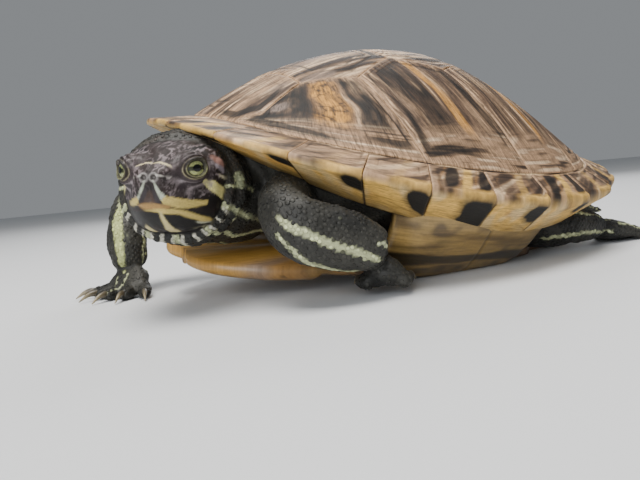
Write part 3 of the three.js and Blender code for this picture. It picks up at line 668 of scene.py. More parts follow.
def marginal_sheet(start, end, seed, bars, blotch, notch):
    """One marginal between two distances along the rim, signed by side."""
    width = abs(end - start)

    def place(u, w, depth):
        inset = SEAM_GAP / width
        u = inset + (1 - 2 * inset) * crowd(u)
        distance = start + (end - start) * u
        turn = turn_at(distance)
        from_seam = np.minimum(u, 1 - u) * width
        edge = rim(turn)
        radius = np.hypot(edge[:, 0], edge[:, 1])
        seam = around(MARGINAL_START, turn)
        seam = seam + (1 - seam) * SEAM_GAP / 10
        front_side = u if abs(end) > abs(start) else 1 - u
        saw = 1.8 * max(0, notch - 0.45) * np.clip(1 - front_side, 0, 1) ** 1.2
        dent = saw + min(notch, 0.6) * hill(from_seam, 0, 1.6) + 0.15 * hill((u - 0.5) * width, 0, 2)
        tip = 1 - (RIM_EDGE / 2 + dent) / radius
        top, below = np.clip(w / 0.44, 0, 1), np.clip((w - 0.54) / 0.46, 0, 1)
        roll = np.clip((w - 0.44) / 0.10, 0, 1) * np.pi
        out = np.where(w < 0.5, seam + (tip - seam) * top, tip + (seam - tip) * below)
        plan = edge[:, :2] * out[:, None]
        high = dome(plan[:, 0], plan[:, 1])[0]
        inward = np.clip((1 - out) / (1 - around(MARGINAL_START, turn)), 0, 1)
        thick = RIM_EDGE + (around(MARGINAL_DEPTH, turn) - RIM_EDGE) * inward
        mid = np.sin(roll) * RIM_EDGE / 2
        z = np.where(w <= 0.44, high, np.where(w >= 0.54, high - thick, high - thick * (1 - np.cos(roll)) / 2))
        outward = edge[:, :2] / radius[:, None]
        plan = plan + outward * mid[:, None]
        under = ease(w, 0.47, 0.53)
        reach = np.where(w < 0.49, (tip - out) * radius, 0) + np.where(w > 0.49, (tip - out) * radius * 1.6, 0)
        near_inner = np.where(w < 0.49, (out - seam) * radius, 9)
        near = np.minimum(from_seam, near_inner)
        run = distance + 1.2 * cloud(np.c_[reach, distance, u * 0], (7, 9, 1), seed)
        grain = streaks(reach + 0.35 * run, run, 1.2, 15, seed)
        ring = cloud(np.c_[np.minimum(from_seam, near_inner * 1.4), reach / 9, u * 0], (0.9, 1, 1), seed)
        lift = edge_profile(near) * np.where(w < 0.49, 1, 0.5) + 0.12 * grain * (1 - 0.6 * under)
        lift = lift + 0.16 * ring * np.exp(-near / 4) * (1 - under)
        z = z + np.where(w < 0.49, lift, -lift)
        paint = plain(TAN, u)
        paint = lay(paint, CREAM, 0.45 + 0.9 * streaks(reach, run, 3.5, 20, seed + 2))
        paint = lay(paint, BROWN, ease(grain, 0.0, 0.4) * 0.85)
        paint = lay(paint, "d4b793", ease(-grain, 0.2, 0.5) * 0.75)
        bow = front_side + 0.05 * cloud(np.c_[reach, u * 0, u * 0], (4, 1, 1), seed + 4) - 0.02 * reach
        for spot, half in ((0.22, 0.13), (0.80, 0.13)):
            blob = np.hypot((bow - spot) / half, (reach - 4.2) / 5.2)
            blob = blob + 0.25 * cloud(np.c_[reach, run, u * 0], 2.4, seed + 5)
            paint = lay(paint, CHARCOAL, (1 - ease(blob, 0.75, 1.15)) * bars * 0.92)
            paint = lay(paint, OCHRE, hill(blob, 1.25, 0.12) * bars * 0.5)
        bar = np.abs(bow - 0.5) / 0.075
        paint = lay(paint, YELLOW, (1 - ease(bar, 0.7, 1.3)) * bars * (1 - ease(reach, 7, 11)) * 0.9)
        line_dark = ease(-ring, 0.1, 0.5) * (1 - ease(near, 2.5, 5)) * ease(near, 0.5, 1.1)
        paint = lay(paint, UMBER, 0.6 * line_dark)
        paint = lay(paint, CREAM, 0.6 * (1 - ease(near, 0.2, 0.8)))
        paint = lay(paint, YELLOW, (1 - ease(reach, 0.2, 1.3)) * ease(front_side, 0.25, 0.6) * 0.8)
        belly = plain(YELLOW, u)
        belly = lay(belly, AMBER, ease(layered(np.c_[reach, run, u * 0], (4, 9, 1), seed + 6), 0.0, 0.5) * 0.6)
        pale_patch = layered(np.c_[reach, run, u * 0], (7, 5, 1), seed + 8)
        belly = lay(belly, "c4ae84", ease(pale_patch, -0.1, 0.4) * 0.7)
        belly = lay(belly, OLIVE, ease(reach, 4, 17) * 0.9)
        belly = lay(belly, "5d4a2c", ease(grain, 0.3, 0.65) * ease(reach, 5, 12) * 0.6)
        half, drop = blotch
        spot_along = ((1 - front_side) * width - half * 0.75 + 0.18 * reach) / half
        spot = np.hypot(spot_along, (reach - drop * 0.45) / (drop * 0.62))
        spot = spot + 0.16 * cloud(np.c_[reach, run, u * 0], 2.6, seed + 7)
        belly = lay(belly, OLIVE, (1 - ease(spot, 1.0, 1.4)) * 0.8)
        belly = lay(belly, BLACK, 1 - ease(spot, 0.86, 1.04))
        belly = lay(belly, "3c2f1e", 0.8 * (1 - ease(from_seam, 0.2, 0.7)))
        paint = lay(paint, belly, under)
        points = np.c_[plan, z]
        sunk = depth < -0.5
        points[sunk] = points[sunk] * (0.985, 0.985, 1) + (0, 0, -0.4)
        return points, paint, np.c_[reach, run, np.full(len(u), seed * 2.3)]

    return place


def joined(name, meshes):
    """One mesh from several, each a closed island."""
    bm = bmesh.new()
    for mesh in meshes:
        bm.from_mesh(mesh)
        bpy.data.meshes.remove(mesh)
    whole = mesh_of(name, bm)
    return whole


for side_name, side in (("left", -1), ("right", 1)):
    for group, (first, last) in {"front": (0, 4), "bridge": (4, 8), "rear": (8, 12)}.items():
        meshes = []
        for k in range(first, last):
            a, b = side * marginal_seams[k], side * min(marginal_seams[k + 1], RIM_WALK - 0.15)
            notch = 0.45 if k < 6 else 1.5
            place = marginal_sheet(a, b, 60 + 2 * k + (side > 0), MARGINAL_BARS[k], MARGINAL_BLOTCH[k], notch)
            mesh = sheet_mesh(f"marginal_{k}", closed_sheet(52, 76), place)
            if side < 0:
                mesh.flip_normals()
            meshes.append(mesh)
        name = f"marginals_{side_name}_{group}"
        piece(name, joined(name, meshes), rim_finish, [name])
nuchal_place = marginal_sheet(-NUCHAL_HALF_WIDTH, NUCHAL_HALF_WIDTH, 90, 0.5, (0.01, 0.01), 0.2)
nuchal_mesh = sheet_mesh("nuchal", closed_sheet(36, 76), nuchal_place)
piece("nuchal", nuchal_mesh, rim_finish, ["nuchal"])
print("24 marginals and the nuchal")

# %% [markdown]
# Under the scutes lies bone, which shows as the thin pale line in each seam. It is a ball whose top
# half is carried to the dome, a little under the horn, and whose lower half stays just below that.

# %% Bone under the seams
bm = bmesh.new()
bmesh.ops.create_uvsphere(bm, u_segments=180, v_segments=90, radius=1)
bone = mesh_of("seam_bone", bm)
ball = points_of(bone)
flat = np.hypot(ball[:, 0], ball[:, 1])
share = np.clip(flat, 1e-6, 1) * 0.9
turn = np.arctan2(ball[:, 1], -ball[:, 0])
plan = rim(turn)[:, :2] * share[:, None]
depth = np.where(ball[:, 2] > -0.02, 0.42, 2.2)
bone_points = np.c_[plan, dome(plan[:, 0], plan[:, 1])[0]]
bone_points = bone_points - dome_normal(plan[:, 0], plan[:, 1]) * depth[:, None]
give_points(bone, carried(body_matrix, bone_points) * MM)
bone_paint = lay(plain("c9ac84", plan), BROWN, 0.5 + cloud(bone_points, 5, 4))
give_paint(bone, bone_paint, bone_points)
piece("seam_bone", bone, horn_finish, [])
print("bone layer", len(bone.vertices), "points")

# %% [markdown]
# The plastron is the flat belly shield, and the bridges join it to the marginals. The plastron is a
# sheet of rows from its front notch to its rear notch, each as wide as the outline there, with a
# rounded edge; its seams and growth lines are grooves in the sheet. A bridge is a sheet wrapped
# round the section that the CAD extruded, pulled in at its ends in the same way.

# %% Plastron and bridges
PLASTRON_CORNERS = [(-80, 2), (-82, 9), (-78, 19), (-66, 29), (-50, 34), (-38, 42), (0, 44), (30, 42),
                    (42, 35), (58, 35), (71, 27), (79, 14), (76, 3)]
PLASTRON_THICKNESS = 5
PLASTRON_SEAMS = ((-68, 7), (-47, 3), (-13, 0), (27, -3), (55, -5))  # x at the middle, sweep to the side
BRIDGE_FRONT, BRIDGE_REAR = -36, 23
BRIDGE_SECTION = [
    (44, 1), (49, 4.5), (54.5, 10.5), (59.5, 17.5), (61, 21),
    (55.5, 26), (53, 17), (48.5, 10), (43, 6.5),
]


def spline(knots, t):
    """Catmull-Rom curve through knots, at shares t of the way through them."""
    k = np.asarray(knots, float)
    at = np.clip(np.asarray(t, float), 0, 1) * (len(k) - 1)
    i = np.minimum(at.astype(int), len(k) - 2)
    w = (at - i)[:, None]
    p0, p1, p2, p3 = (k[np.clip(i + o, 0, len(k) - 1)] for o in (-1, 0, 1, 2))
    v0, v1 = (p2 - p0) / 2, (p3 - p1) / 2
    return (2 * p1 - 2 * p2 + v0 + v1) * w**3 + (-3 * p1 + 3 * p2 - 2 * v0 - v1) * w**2 + v0 * w + p1


def place_plastron(t, v, depth):
    v = 2 * crowd(v) - 1
    t = crowd(t)
    row = spline(PLASTRON_CORNERS, t)
    middle = -80 + 156 * t
    x = middle + (row[:, 0] - middle) * v**2
    y = row[:, 1] * v
    edge = np.minimum((1 - np.abs(v)) * row[:, 1], np.minimum(x + 81, 78 - x) + 1.5)
    bend = 3.5 * ease(x, 20, 80) + 3 * (np.abs(y) / 45) ** 4 - 1.5 * ease(-x, 49, 51)
    off = [np.abs(x - m - s * (np.abs(y) / 30) ** 2) for m, s in PLASTRON_SEAMS] + [np.abs(y)]
    seam = np.min(off, axis=0)
    ring = cloud(np.c_[seam + 0.8 * cloud(np.c_[x, y, x * 0], 9, 3), x / 30, y / 30], (0.9, 1, 1), 5)
    groove = hill(seam, 0, 0.35)
    z = bend + 2.4 * (1 - np.sqrt(np.clip(1 - (1 - np.minimum(np.maximum(edge, 0) / 2.4, 1)) ** 2, 0, 1)))
    z = z + 0.4 * groove + 0.07 * ring * np.exp(-seam / 6)
    z = np.where(depth < -0.5, bend + PLASTRON_THICKNESS, z)
    patch = layered(np.c_[x, y, x * 0], (9, 12, 1), 6)
    paint = lay(plain("8f6a3a", x), "b8955a", 0.35 + 0.8 * patch)
    paint = lay(paint, OLIVE, ease(layered(np.c_[x, y, x * 0], (13, 7, 1), 7), 0.1, 0.6) * 0.7)
    worn_patch = ease(patch + 0.6, 0.2, 0.7) * ease(x + 80, 4, 12) * ease(np.abs(y), 10, 22)
    paint = lay(paint, "7b6450", worn_patch * 0.9)
    paint = lay(paint, "b4873c", (1 - ease(x + 82, 5, 14)) * 0.7)
    spots = [
        (-74, 7, 5, 4), (-57, 14, 8, 8), (-30, 22, 11, 12),
        (7, 22, 13, 12), (41, 18, 9, 10), (66, 10, 7, 8),
    ]
    for cx, cy, rx, ry in spots:
        blot = np.hypot((x - cx) / rx, (np.abs(y) - cy) / ry) + 0.42 * layered(np.c_[x, y, x * 0], 5.5, 8)
        paint = lay(paint, OLIVE, (1 - ease(blot, 0.75, 1.1)) * 0.7)
        paint = lay(paint, BLACK, (1 - ease(blot, 0.62, 0.78)) * 0.95)
    paint = lay(paint, "4a3b22", groove * 0.85)
    paint = lay(paint, "7a5a30", ease(-ring, 0.25, 0.6) * np.exp(-seam / 5) * 0.5)
    return np.c_[x, y, z], paint, np.c_[y, x, x * 0]


def place_bridge(side):
    loop = BRIDGE_SECTION + BRIDGE_SECTION[:1]

    def place(u, w, depth):
        out, level_up = at_share(np.array(loop, float), w).T
        x = BRIDGE_FRONT + (BRIDGE_REAR - BRIDGE_FRONT) * u
        edge = rim(np.arccos(np.clip(-2 * x / SHELL_LENGTH, -1, 1)))
        level = np.clip(level_up / 21, 0, 1)
        shrink = np.abs(edge[:, 1]) / SHELL_HALF_WIDTH
        lift = (edge[:, 2] - RIM_HEIGHT[1]) * level + 5 * np.abs(2 * u - 1) ** 4 * (1 - level)
        drawn_in = 1 - 0.5 * np.abs(2 * u - 1) ** 8
        y = side * (43 + (out - 43) * (1 - (1 - shrink) * level * 3) * drawn_in)
        z = level_up + lift
        grain = streaks(z, x, 1.4, 16, 14)
        paint = lay(plain("9c7f48", x), OLIVE, 0.45 + 0.8 * layered(np.c_[x, z, x * 0], (10, 6, 1), 9))
        paint = lay(paint, "4f3d25", ease(grain, 0.05, 0.5) * 0.75)
        paint = lay(paint, "3a2e22", ease(layered(np.c_[x, z, x * 0], (7, 5, 1), 19), 0.1, 0.45) * 0.7)
        dark_band = np.abs(z - 8.5) / 2.2 + 0.5 * cloud(np.c_[x, z, x * 0], (9, 4, 1), 12)
        paint = lay(paint, BLACK, (1 - ease(dark_band, 0.6, 0.9)) * 0.85)
        seam = np.abs(x + 4 + 0.2 * z)
        paint = lay(paint, "3c2f1e", hill(seam, 0, 0.4) * 0.8)
        return np.c_[x, y + side * (0.12 * grain - 0.3 * hill(seam, 0, 0.4)), z], paint, np.c_[z, x, x * 0]

    return place


def rest_on_floor(mesh):
    """Lays what would reach below the floor on it: the shell rests on flats, as the CAD solids do."""
    co = points_of(mesh)
    co[:, 2] = np.maximum(co[:, 2], 0)
    give_points(mesh, co)


plastron = sheet_mesh("plastron", closed_sheet(170, 110), place_plastron)
rest_on_floor(plastron)
plastron.flip_normals()
piece("plastron", plastron, belly_finish, ["plastron"])
for name, side in (("left", -1), ("right", 1)):
    bm = bmesh.new()
    bmesh.ops.create_grid(bm, x_segments=110, y_segments=90, size=0.5)
    bmesh.ops.translate(bm, verts=bm.verts, vec=(0.5, 0.5, 0))
    mesh = sheet_mesh(f"bridge_{name}", bm, place_bridge(side))
    bm = bmesh.new()
    bm.from_mesh(mesh)
    bmesh.ops.remove_doubles(bm, verts=bm.verts, dist=1e-6)
    bmesh.ops.holes_fill(bm, edges=[e for e in bm.edges if e.is_boundary], sides=0)
    bmesh.ops.recalc_face_normals(bm, faces=bm.faces)
    bm.to_mesh(mesh)
    bm.free()
    rest_on_floor(mesh)
    piece(f"bridge_{name}", mesh, belly_finish, [f"bridge_{name}"])
print("plastron and bridges")

# %% [markdown]
# All flesh is one skin, so that no seam shows. The head, neck, legs, feet and tail are dense balls
# stretched along smooth paths, with the same knots as the CAD solids, and the neck's skin adds a
# hood: loose folds, like rings, round the back of the head of a turtle that has drawn its head in.
# All of them are joined by a voxel remesh, which turns overlapping balls into one even surface.

# %% Balls along paths
NECK = [(-48, -6, 33, 15, 14), (-62, -9, 33, 17, 17), (-75, -14, 34, 18, 17.2), (-86, -22, 35.5, 16, 14.4)]
LEGS = {
    "foreleg_left": [(-44, -24, 29, 9, 10), (-58, -34, 28.5, 9.5, 10), (-67.5, -46, 25, 7.5, 8.5),
                     (-66, -53, 20.5, 6.5, 9), (-56.5, -57, 17, 6.2, 9.8), (-45.5, -60.5, 13.5, 5.6, 8.8)],
    "foreleg_right": [(-44, 28, 32, 10, 10), (-62, 38, 34, 10.5, 10), (-78, 40, 31, 9, 9),
                      (-86, 35, 22, 7.5, 8),
                      (-88, 31, 14, 7.5, 8), (-88.5, 29.5, 9, 8, 7.5)],
    "hindleg_left": [(46, -14, 21, 12, 12), (38, -31, 15, 12, 11), (35, -45, 10.5, 10, 8.5),
                     (48, -50, 9, 8, 7.5),
                     (63, -50, 7, 6.5, 6)],
    "hindleg_right": [(48, 20, 24, 12, 12), (46, 38, 22, 12, 11), (46, 54, 17, 10, 9), (60, 61, 11.5, 8, 8),
                      (72, 64, 6.5, 7, 6)],
}
TAIL = [(66, -4, 20, 7, 7), (80, -7, 17, 5.5, 5.5), (94, -13, 12, 3.8, 4), (108, -22, 8, 1.6, 1.8)]
FEET = {  # heel, middle of the toes, half width, spread of the toes in degrees, claws
    "forefoot_left": ((-46.5, -59.5, 9.5), (-41.5, -53, 3.6), 6.5, 34, 5),
    "forefoot_right": ((-85.5, 29.5, 8.5), (-94, 25.5, 1.9), 10, 92, 5),
    "hindfoot_left": ((61, -50, 6.5), (81, -48, 1.8), 10, 62, 4),
    "hindfoot_right": ((70, 64, 6.5), (90, 70, 1.8), 10, 62, 4),
}
TOE_RADIUS, TOE_LENGTH = 2.3, 6.5
SKIN_INSET = 0.35  # mm that the skin lies inside the solids, for the scales over it


def place_verts(verts, place):
    """Moves the points of a ball of radius 1 by place(around, polar)."""
    co = np.array([v.co for v in verts])
    polar = np.arccos(np.clip(co[:, 2], -1, 1))
    for v, p in zip(verts, place(np.arctan2(co[:, 1], co[:, 0]), polar)):
        v.co = p


def limb_ball(bm, knots, sides=36, rings=40, blunt=0.5, grow=-SKIN_INSET):
    knots = np.array(knots, float)

    def place(turn, polar):
        share = (1 - np.cos(polar)) / 2
        centre = spline(knots[:, :3], share)
        ahead = spline(knots[:, :3], np.minimum(share + 0.01, 1))
        ahead = ahead - spline(knots[:, :3], np.maximum(share - 0.01, 0))
        ahead /= np.linalg.norm(ahead, axis=1)[:, None]
        across = np.cross(ahead, (0, 0, 1))
        across /= np.linalg.norm(across, axis=1)[:, None]
        upward = np.cross(across, ahead)
        at = np.linspace(0, 1, len(knots))
        wide, high = (np.interp(share, at, knots[:, k]) + grow for k in (3, 4))
        swell = np.maximum(0, np.sin(polar)) ** blunt
        flat = centre - ahead * (np.cos(polar) * grow)[:, None]
        flat = flat + across * (swell * wide * np.cos(turn))[:, None]
        return flat + upward * (swell * high * np.sin(turn))[:, None]

    ball = bmesh.ops.create_uvsphere(bm, u_segments=sides, v_segments=rings, radius=1)["verts"]
    place_verts(ball, place)


def toes_of(foot):
    """Root and direction of each toe."""
    heel, toes, width, spread, count = foot
    ahead = np.array(toes, float) - heel
    ahead[2] = 0
    ahead /= np.linalg.norm(ahead)
    across = np.array((-ahead[1], ahead[0], 0))
    for k in range(count):
        share = k / (count - 1) - 0.5
        angle = math.radians(share * spread)
        root = np.array(toes) + across * share * 1.7 * width - ahead * 3.4 * abs(2 * share) ** 2
        yield root, ahead * math.cos(angle) + across * math.sin(angle)


def foot_balls(bm, foot):
    heel, toes, width = foot[:3]
    palm = (np.array(heel) + toes) / 2
    limb_ball(bm, [(*heel, width * 0.68, 5), (*palm, width * 0.9, 4.2), (*toes, width, 2.7)], 30, 24)
    for root, ahead in toes_of(foot):
        toe_balls = ((-4, 0.6), (1, 0.5), (TOE_LENGTH, -0.1))
        at = [(root + ahead * d)[:2].tolist() + [toes[2] + h] for d, h in toe_balls]
        limb_ball(bm, [(*p, TOE_RADIUS * f, TOE_RADIUS * f) for p, f in zip(at, (1, 1, 0.9))], 16, 14, grow=0)


HALF_WIDTH = [(-19, 11), (-12, 13.6), (-6, 14.3), (0, 13), (4, 10.9), (8, 8.6), (11, 6.8), (13.8, 4.5)]
CROWN = [(-19, 6.5), (-12, 8.4), (-4, 8), (2, 7), (7, 5.2), (11, 4), (13.8, 3)]
CHIN = [(-19, 12), (-12, 15.5), (-4, 16.5), (3, 16), (8, 14.6), (11, 13), (13.8, 11)]


def place_head(turn, polar):
    share = (1 - np.cos(polar)) / 2
    ahead = -19 + 32.8 * share + np.cos(polar) * 0.15
    swell = np.maximum(0, np.sin(polar)) ** 0.27
    wide, crown, chin = (np.interp(ahead, *np.array(rows, float).T) - 0.2 for rows in (HALF_WIDTH, CROWN, CHIN))
    out, rise = np.cos(turn), np.sin(turn)
    power = np.where(rise > 0, 0.86, 0.6)
    left = swell * wide * np.sign(out) * np.abs(out) ** power
    high = swell * np.where(rise > 0, crown, chin) * np.sign(rise) * np.abs(rise) ** power
    return carried(raw_head, np.c_[ahead, left, high])


flesh = bmesh.new()
ball = bmesh.ops.create_uvsphere(flesh, u_segments=72, v_segments=60, radius=1)["verts"]
place_verts(ball, place_head)
limb_ball(flesh, NECK, 48, 40, 0.35)
for knots in LEGS.values():
    limb_ball(flesh, knots)
limb_ball(flesh, TAIL, 24, 40)
for foot in FEET.values():
    foot_balls(flesh, foot)
for side in (1, -1):
    eye_ball = bmesh.ops.create_icosphere(flesh, subdivisions=4, radius=EYE_RADIUS + 0.5)["verts"]
    centre = raw_head @ Vector((EYE_FORWARD, side * EYE_OUT, EYE_UP))
    bmesh.ops.translate(flesh, verts=eye_ball, vec=centre)
# Folds of the hood: ahead of the head's origin, height of centre, radii across and up, tube, yaw and
# lean, which sets the fold's lower part ahead of its top, under the chin.
HOOD = [
    (-5.0, -5.1, 14.3, 13.8, 1.8, 8, -14),
    (-10.5, -5.4, 15.8, 14.2, 2.5, 2, -10),
    (-17.0, -6.2, 16.0, 13.8, 3.0, -8, -4),
]
for ahead, high, wide, tall, tube, yaw, lean_down in HOOD:
    start = set(flesh.verts)
    circle = bmesh.ops.create_circle(flesh, segments=14, radius=1)["verts"]
    bmesh.ops.rotate(flesh, verts=circle, cent=(0, 0, 0), matrix=Matrix.Rotation(math.pi / 2, 3, "X"))
    bmesh.ops.translate(flesh, verts=circle, vec=(8, 0, 0))
    edges = list({e for v in circle for e in v.link_edges})
    bmesh.ops.spin(
        flesh, geom=circle + edges, cent=(0, 0, 0), axis=(0, 0, 1), angle=2 * math.pi, steps=60,
        use_merge=True,
    )
    ring = [v for v in flesh.verts if v not in start]
    m = raw_head @ Matrix.Translation((ahead, 0, high)) @ turned(yaw, "Z") @ turned(lean_down, "Y")
    for v in ring:
        x, y, z = v.co
        r = math.hypot(x, y)
        c, s = x / r, y / r
        wave = 1 + 0.09 * math.sin(5 * math.atan2(s, c) + ahead) + 0.05 * math.sin(13 * math.atan2(s, c))
        thick = tube * wave
        v.co = m @ Vector((z * thick, c * (wide + (r - 8) * thick), s * (tall + (r - 8) * thick)))
bmesh.ops.transform(flesh, matrix=Matrix.Scale(MM, 4) @ to_frame, verts=flesh.verts)
TRUNK_FRONT_CUT, TRUNK_REAR_CUT = -0.020, 0.036  # metres; the shell hides the trunk between them
for keep_front in (True, False):
    trunk = bmesh.new()
    trunk.from_mesh(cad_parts["trunk"].data)
    bmesh.ops.remove_doubles(trunk, verts=trunk.verts, dist=2e-6)
    cut_at, way = (TRUNK_FRONT_CUT, (1, 0, 0)) if keep_front else (TRUNK_REAR_CUT, (-1, 0, 0))
    bmesh.ops.bisect_plane(
        trunk, geom=trunk.verts[:] + trunk.edges[:] + trunk.faces[:], plane_co=(cut_at, 0, 0), plane_no=way,
        clear_outer=True,
    )
    bmesh.ops.holes_fill(trunk, edges=[e for e in trunk.edges if e.is_boundary], sides=0)
    part = mesh_of("trunk_part", trunk)
    flesh.from_mesh(part)
    bpy.data.meshes.remove(part)
bmesh.ops.recalc_face_normals(flesh, faces=flesh.faces)
skin = mesh_of("skin", flesh)
print("joined flesh:", len(skin.vertices), "points")

# %% [markdown]
# The remesh gives an even net of squares, SKIN_VOXEL wide, and a few rounds of smoothing melt
# each joint into soft skin. Smoothing by averaging shrinks thin toes, so each round is followed by
# a small step outwards. The head needs more detail than the body, and the rims of the eyes more
# still, so those parts alone are subdivided.

# %% Remesh, smooth and subdivide
SKIN_VOXEL = 0.88


def smoothed(mesh, rounds, chosen=None):
    """Averages points with their neighbours, with a step back after each to keep the volume."""
    pairs = np.empty(len(mesh.edges) * 2, np.int32)
    mesh.edges.foreach_get("vertices", pairs)
    a, b = pairs.reshape(-1, 2).T
    co = points_of(mesh)
    count = np.bincount(a, minlength=len(co)) + np.bincount(b, minlength=len(co))
    for k in range(rounds * 2):
        total = np.stack(
            [np.bincount(a, co[b, j], len(co)) + np.bincount(b, co[a, j], len(co)) for j in range(3)], 1
        )
        step = total / np.maximum(count, 1)[:, None] - co
        step *= 0.55 if k % 2 == 0 else -0.5
        co = co + (step if chosen is None else step * chosen(co)[:, None])
    give_points(mesh, co)


holder = bpy.data.objects.new("skin", skin)
bpy.context.scene.collection.objects.link(holder)
remesh = holder.modifiers.new("even net", "REMESH")
remesh.mode, remesh.voxel_size, remesh.adaptivity = "VOXEL", SKIN_VOXEL * MM, 0
skin_net = bpy.data.meshes.new_from_object(holder.evaluated_get(bpy.context.evaluated_depsgraph_get()))
bpy.data.objects.remove(holder)
smoothed(skin_net, 5)


def in_head(points):
    """Place ahead of, left of and above the head's origin, a little behind the eyes, in mm."""
    m = np.array(head_matrix)
    return (points - m[:3, 3]) @ m[:3, :3]


def eye_distance(q):
    return np.linalg.norm(np.c_[q[:, 0] - EYE_FORWARD, np.abs(q[:, 1]) - EYE_OUT, q[:, 2] - EYE_UP], axis=1)


def subdivided(mesh, chosen):
    co = points_of(mesh) / MM
    mark = chosen(in_head(co))
    bm = bmesh.new()
    bm.from_mesh(mesh)
    edges = [e for e in bm.edges if mark[e.verts[0].index] and mark[e.verts[1].index]]
    bmesh.ops.subdivide_edges(bm, edges=edges, cuts=1, use_grid_fill=True, smooth=0.5)
    bm.to_mesh(mesh)
    bm.free()


def head_part(q):
    return (q[:, 0] > -6) & (q[:, 0] < 16) & (np.abs(q[:, 1]) < 16.5) & (q[:, 2] > -18.5) & (q[:, 2] < 12)


def fine_part(q):
    nose = np.linalg.norm(q - (13.7, 0, 0), axis=1) < 4.2
    return head_part(q) & ((eye_distance(q) < 6.6) & (q[:, 0] > 0) | nose)


subdivided(skin_net, head_part)
smoothed(skin_net, 2, lambda co: head_part(in_head(co / MM)).astype(float))
subdivided(skin_net, fine_part)
skin_triangles = sum(len(p.vertices) - 2 for p in skin_net.polygons)
print("skin:", len(skin_net.vertices), "points,", skin_triangles, "triangles")

# %% [markdown]
# The head is sculpted by moving the points of the fine net. A slider's eye sits behind two lids:
# skin is drawn onto a ball a little larger than the eye, and left open in an oval. The nostrils are
# pits at the tip of the snout, the mouth is a groove along the edge of the horny beak, and the
# crown is smooth skin with fine wrinkles. All places are in the head's own axes, so both sides
# match.

# %% Sculpt the head
EYE_AXIS = np.array((0.66, 0.74, 0.11)) / np.linalg.norm((0.66, 0.74, 0.11))  # ahead, out, up
EYE_OPENING = (2.6, 1.95)  # half width and half height in mm
MOUTH = [
    (13.9, 0, -7.1), (13.3, 3.0, -7.2), (10.4, 6.4, -7.7),
    (6.5, 9.1, -8.5), (3.2, 11.2, -8.5), (1.0, 12.5, -7.9),
]
LID = 0.7  # thickness of a lid over the eyeball in mm
NOSTRIL = (13.9, 1.3, 0.45)


def stroke_distance(points, knots, smooth=4):
    """Distance to a smooth line through knots, and the knots' own half width at the nearest place."""
    knots = np.asarray(knots, float)
    line_points = spline(knots, np.linspace(0, 1, (len(knots) - 1) * smooth + 1))
    best, half = np.full(len(points), 1e9), np.zeros(len(points))
    for a, b in zip(line_points[:-1], line_points[1:]):
        d = b[:3] - a[:3]
        t = np.clip(((points - a[:3]) @ d) / max(1e-9, d @ d), 0, 1)
        far = np.linalg.norm(points - a[:3] - t[:, None] * d, axis=1)
        closer = far < best
        best = np.where(closer, far, best)
        if knots.shape[1] > 3:
            half = np.where(closer, a[3] + (b[3] - a[3]) * t, half)
    return best, half


def both_sides(q):
    return q * (1, 0, 1) + np.abs(q * (0, 1, 0))


def eye_frame(q):
    """Each point from the near side's eye centre: distance, opening's oval measure, and direction."""
    off = both_sides(q) - (EYE_FORWARD, EYE_OUT, EYE_UP)
    r = np.linalg.norm(off, axis=1)
    way = off / r[:, None]
    upward = np.array((0, 0, 1.0)) - EYE_AXIS * EYE_AXIS[2]
    upward /= np.linalg.norm(upward)
    along = np.cross(upward, EYE_AXIS)
    facing = way @ EYE_AXIS
    s, t = way @ along * 4.8, way @ upward * 4.8
    tilt = 0.12
    s, t = s * math.cos(tilt) + t * math.sin(tilt), t * math.cos(tilt) - s * math.sin(tilt)
    oval = np.hypot(s / EYE_OPENING[0], t / EYE_OPENING[1])
    return r, np.where(facing > 0, oval, 9), way, facing


def normals_of(mesh):
    n = np.empty(len(mesh.vertices) * 3, np.float32)
    mesh.vertex_normals.foreach_get("vector", n)
    return n.reshape(-1, 3).astype(float)


skin_net.update()
spots = points_of(skin_net) / MM
outward = normals_of(skin_net)
head_at = in_head(spots)
in_the_head = head_part(head_at) | (
    (head_at[:, 0] > -14) & (head_at[:, 0] < 16) & (np.abs(head_at[:, 1]) < 17)
    & (head_at[:, 2] < 12) & (head_at[:, 2] > -19)
)
q = head_at.copy()
# Lids: the skin near each eye is drawn onto a ball, open in an oval.
r, oval, way, facing = eye_frame(q)
hold = ease(facing, 0.30, 0.62) * (r < 8.5) * in_the_head
edge = 0.26 * hill(oval, 1.14, 0.13) - 0.26 * hill(oval, 1.42, 0.10)
edge = edge + 0.2 * hill(oval, 1.66, 0.13) - 0.22 * hill(oval, 1.92, 0.10)
edge = edge + 0.14 * hill(oval, 2.2, 0.13) + 0.35 * ease(way[:, 2], 0.15, 0.5) * hill(oval, 1.25, 0.3)
target = EYE_RADIUS + LID + edge
target = np.where(oval < 1.03, EYE_RADIUS - 1.3 + (LID + 1.3) * ease(oval, 0.94, 1.03), target)
new_r = r + (target - r) * hold
flip_side = np.where(q[:, 1] < 0, -1.0, 1.0)
moved = (EYE_FORWARD, EYE_OUT, EYE_UP) + way * new_r[:, None]
moved[:, 1] *= flip_side
q = np.where(((hold > 0) & in_the_head)[:, None], moved, q)
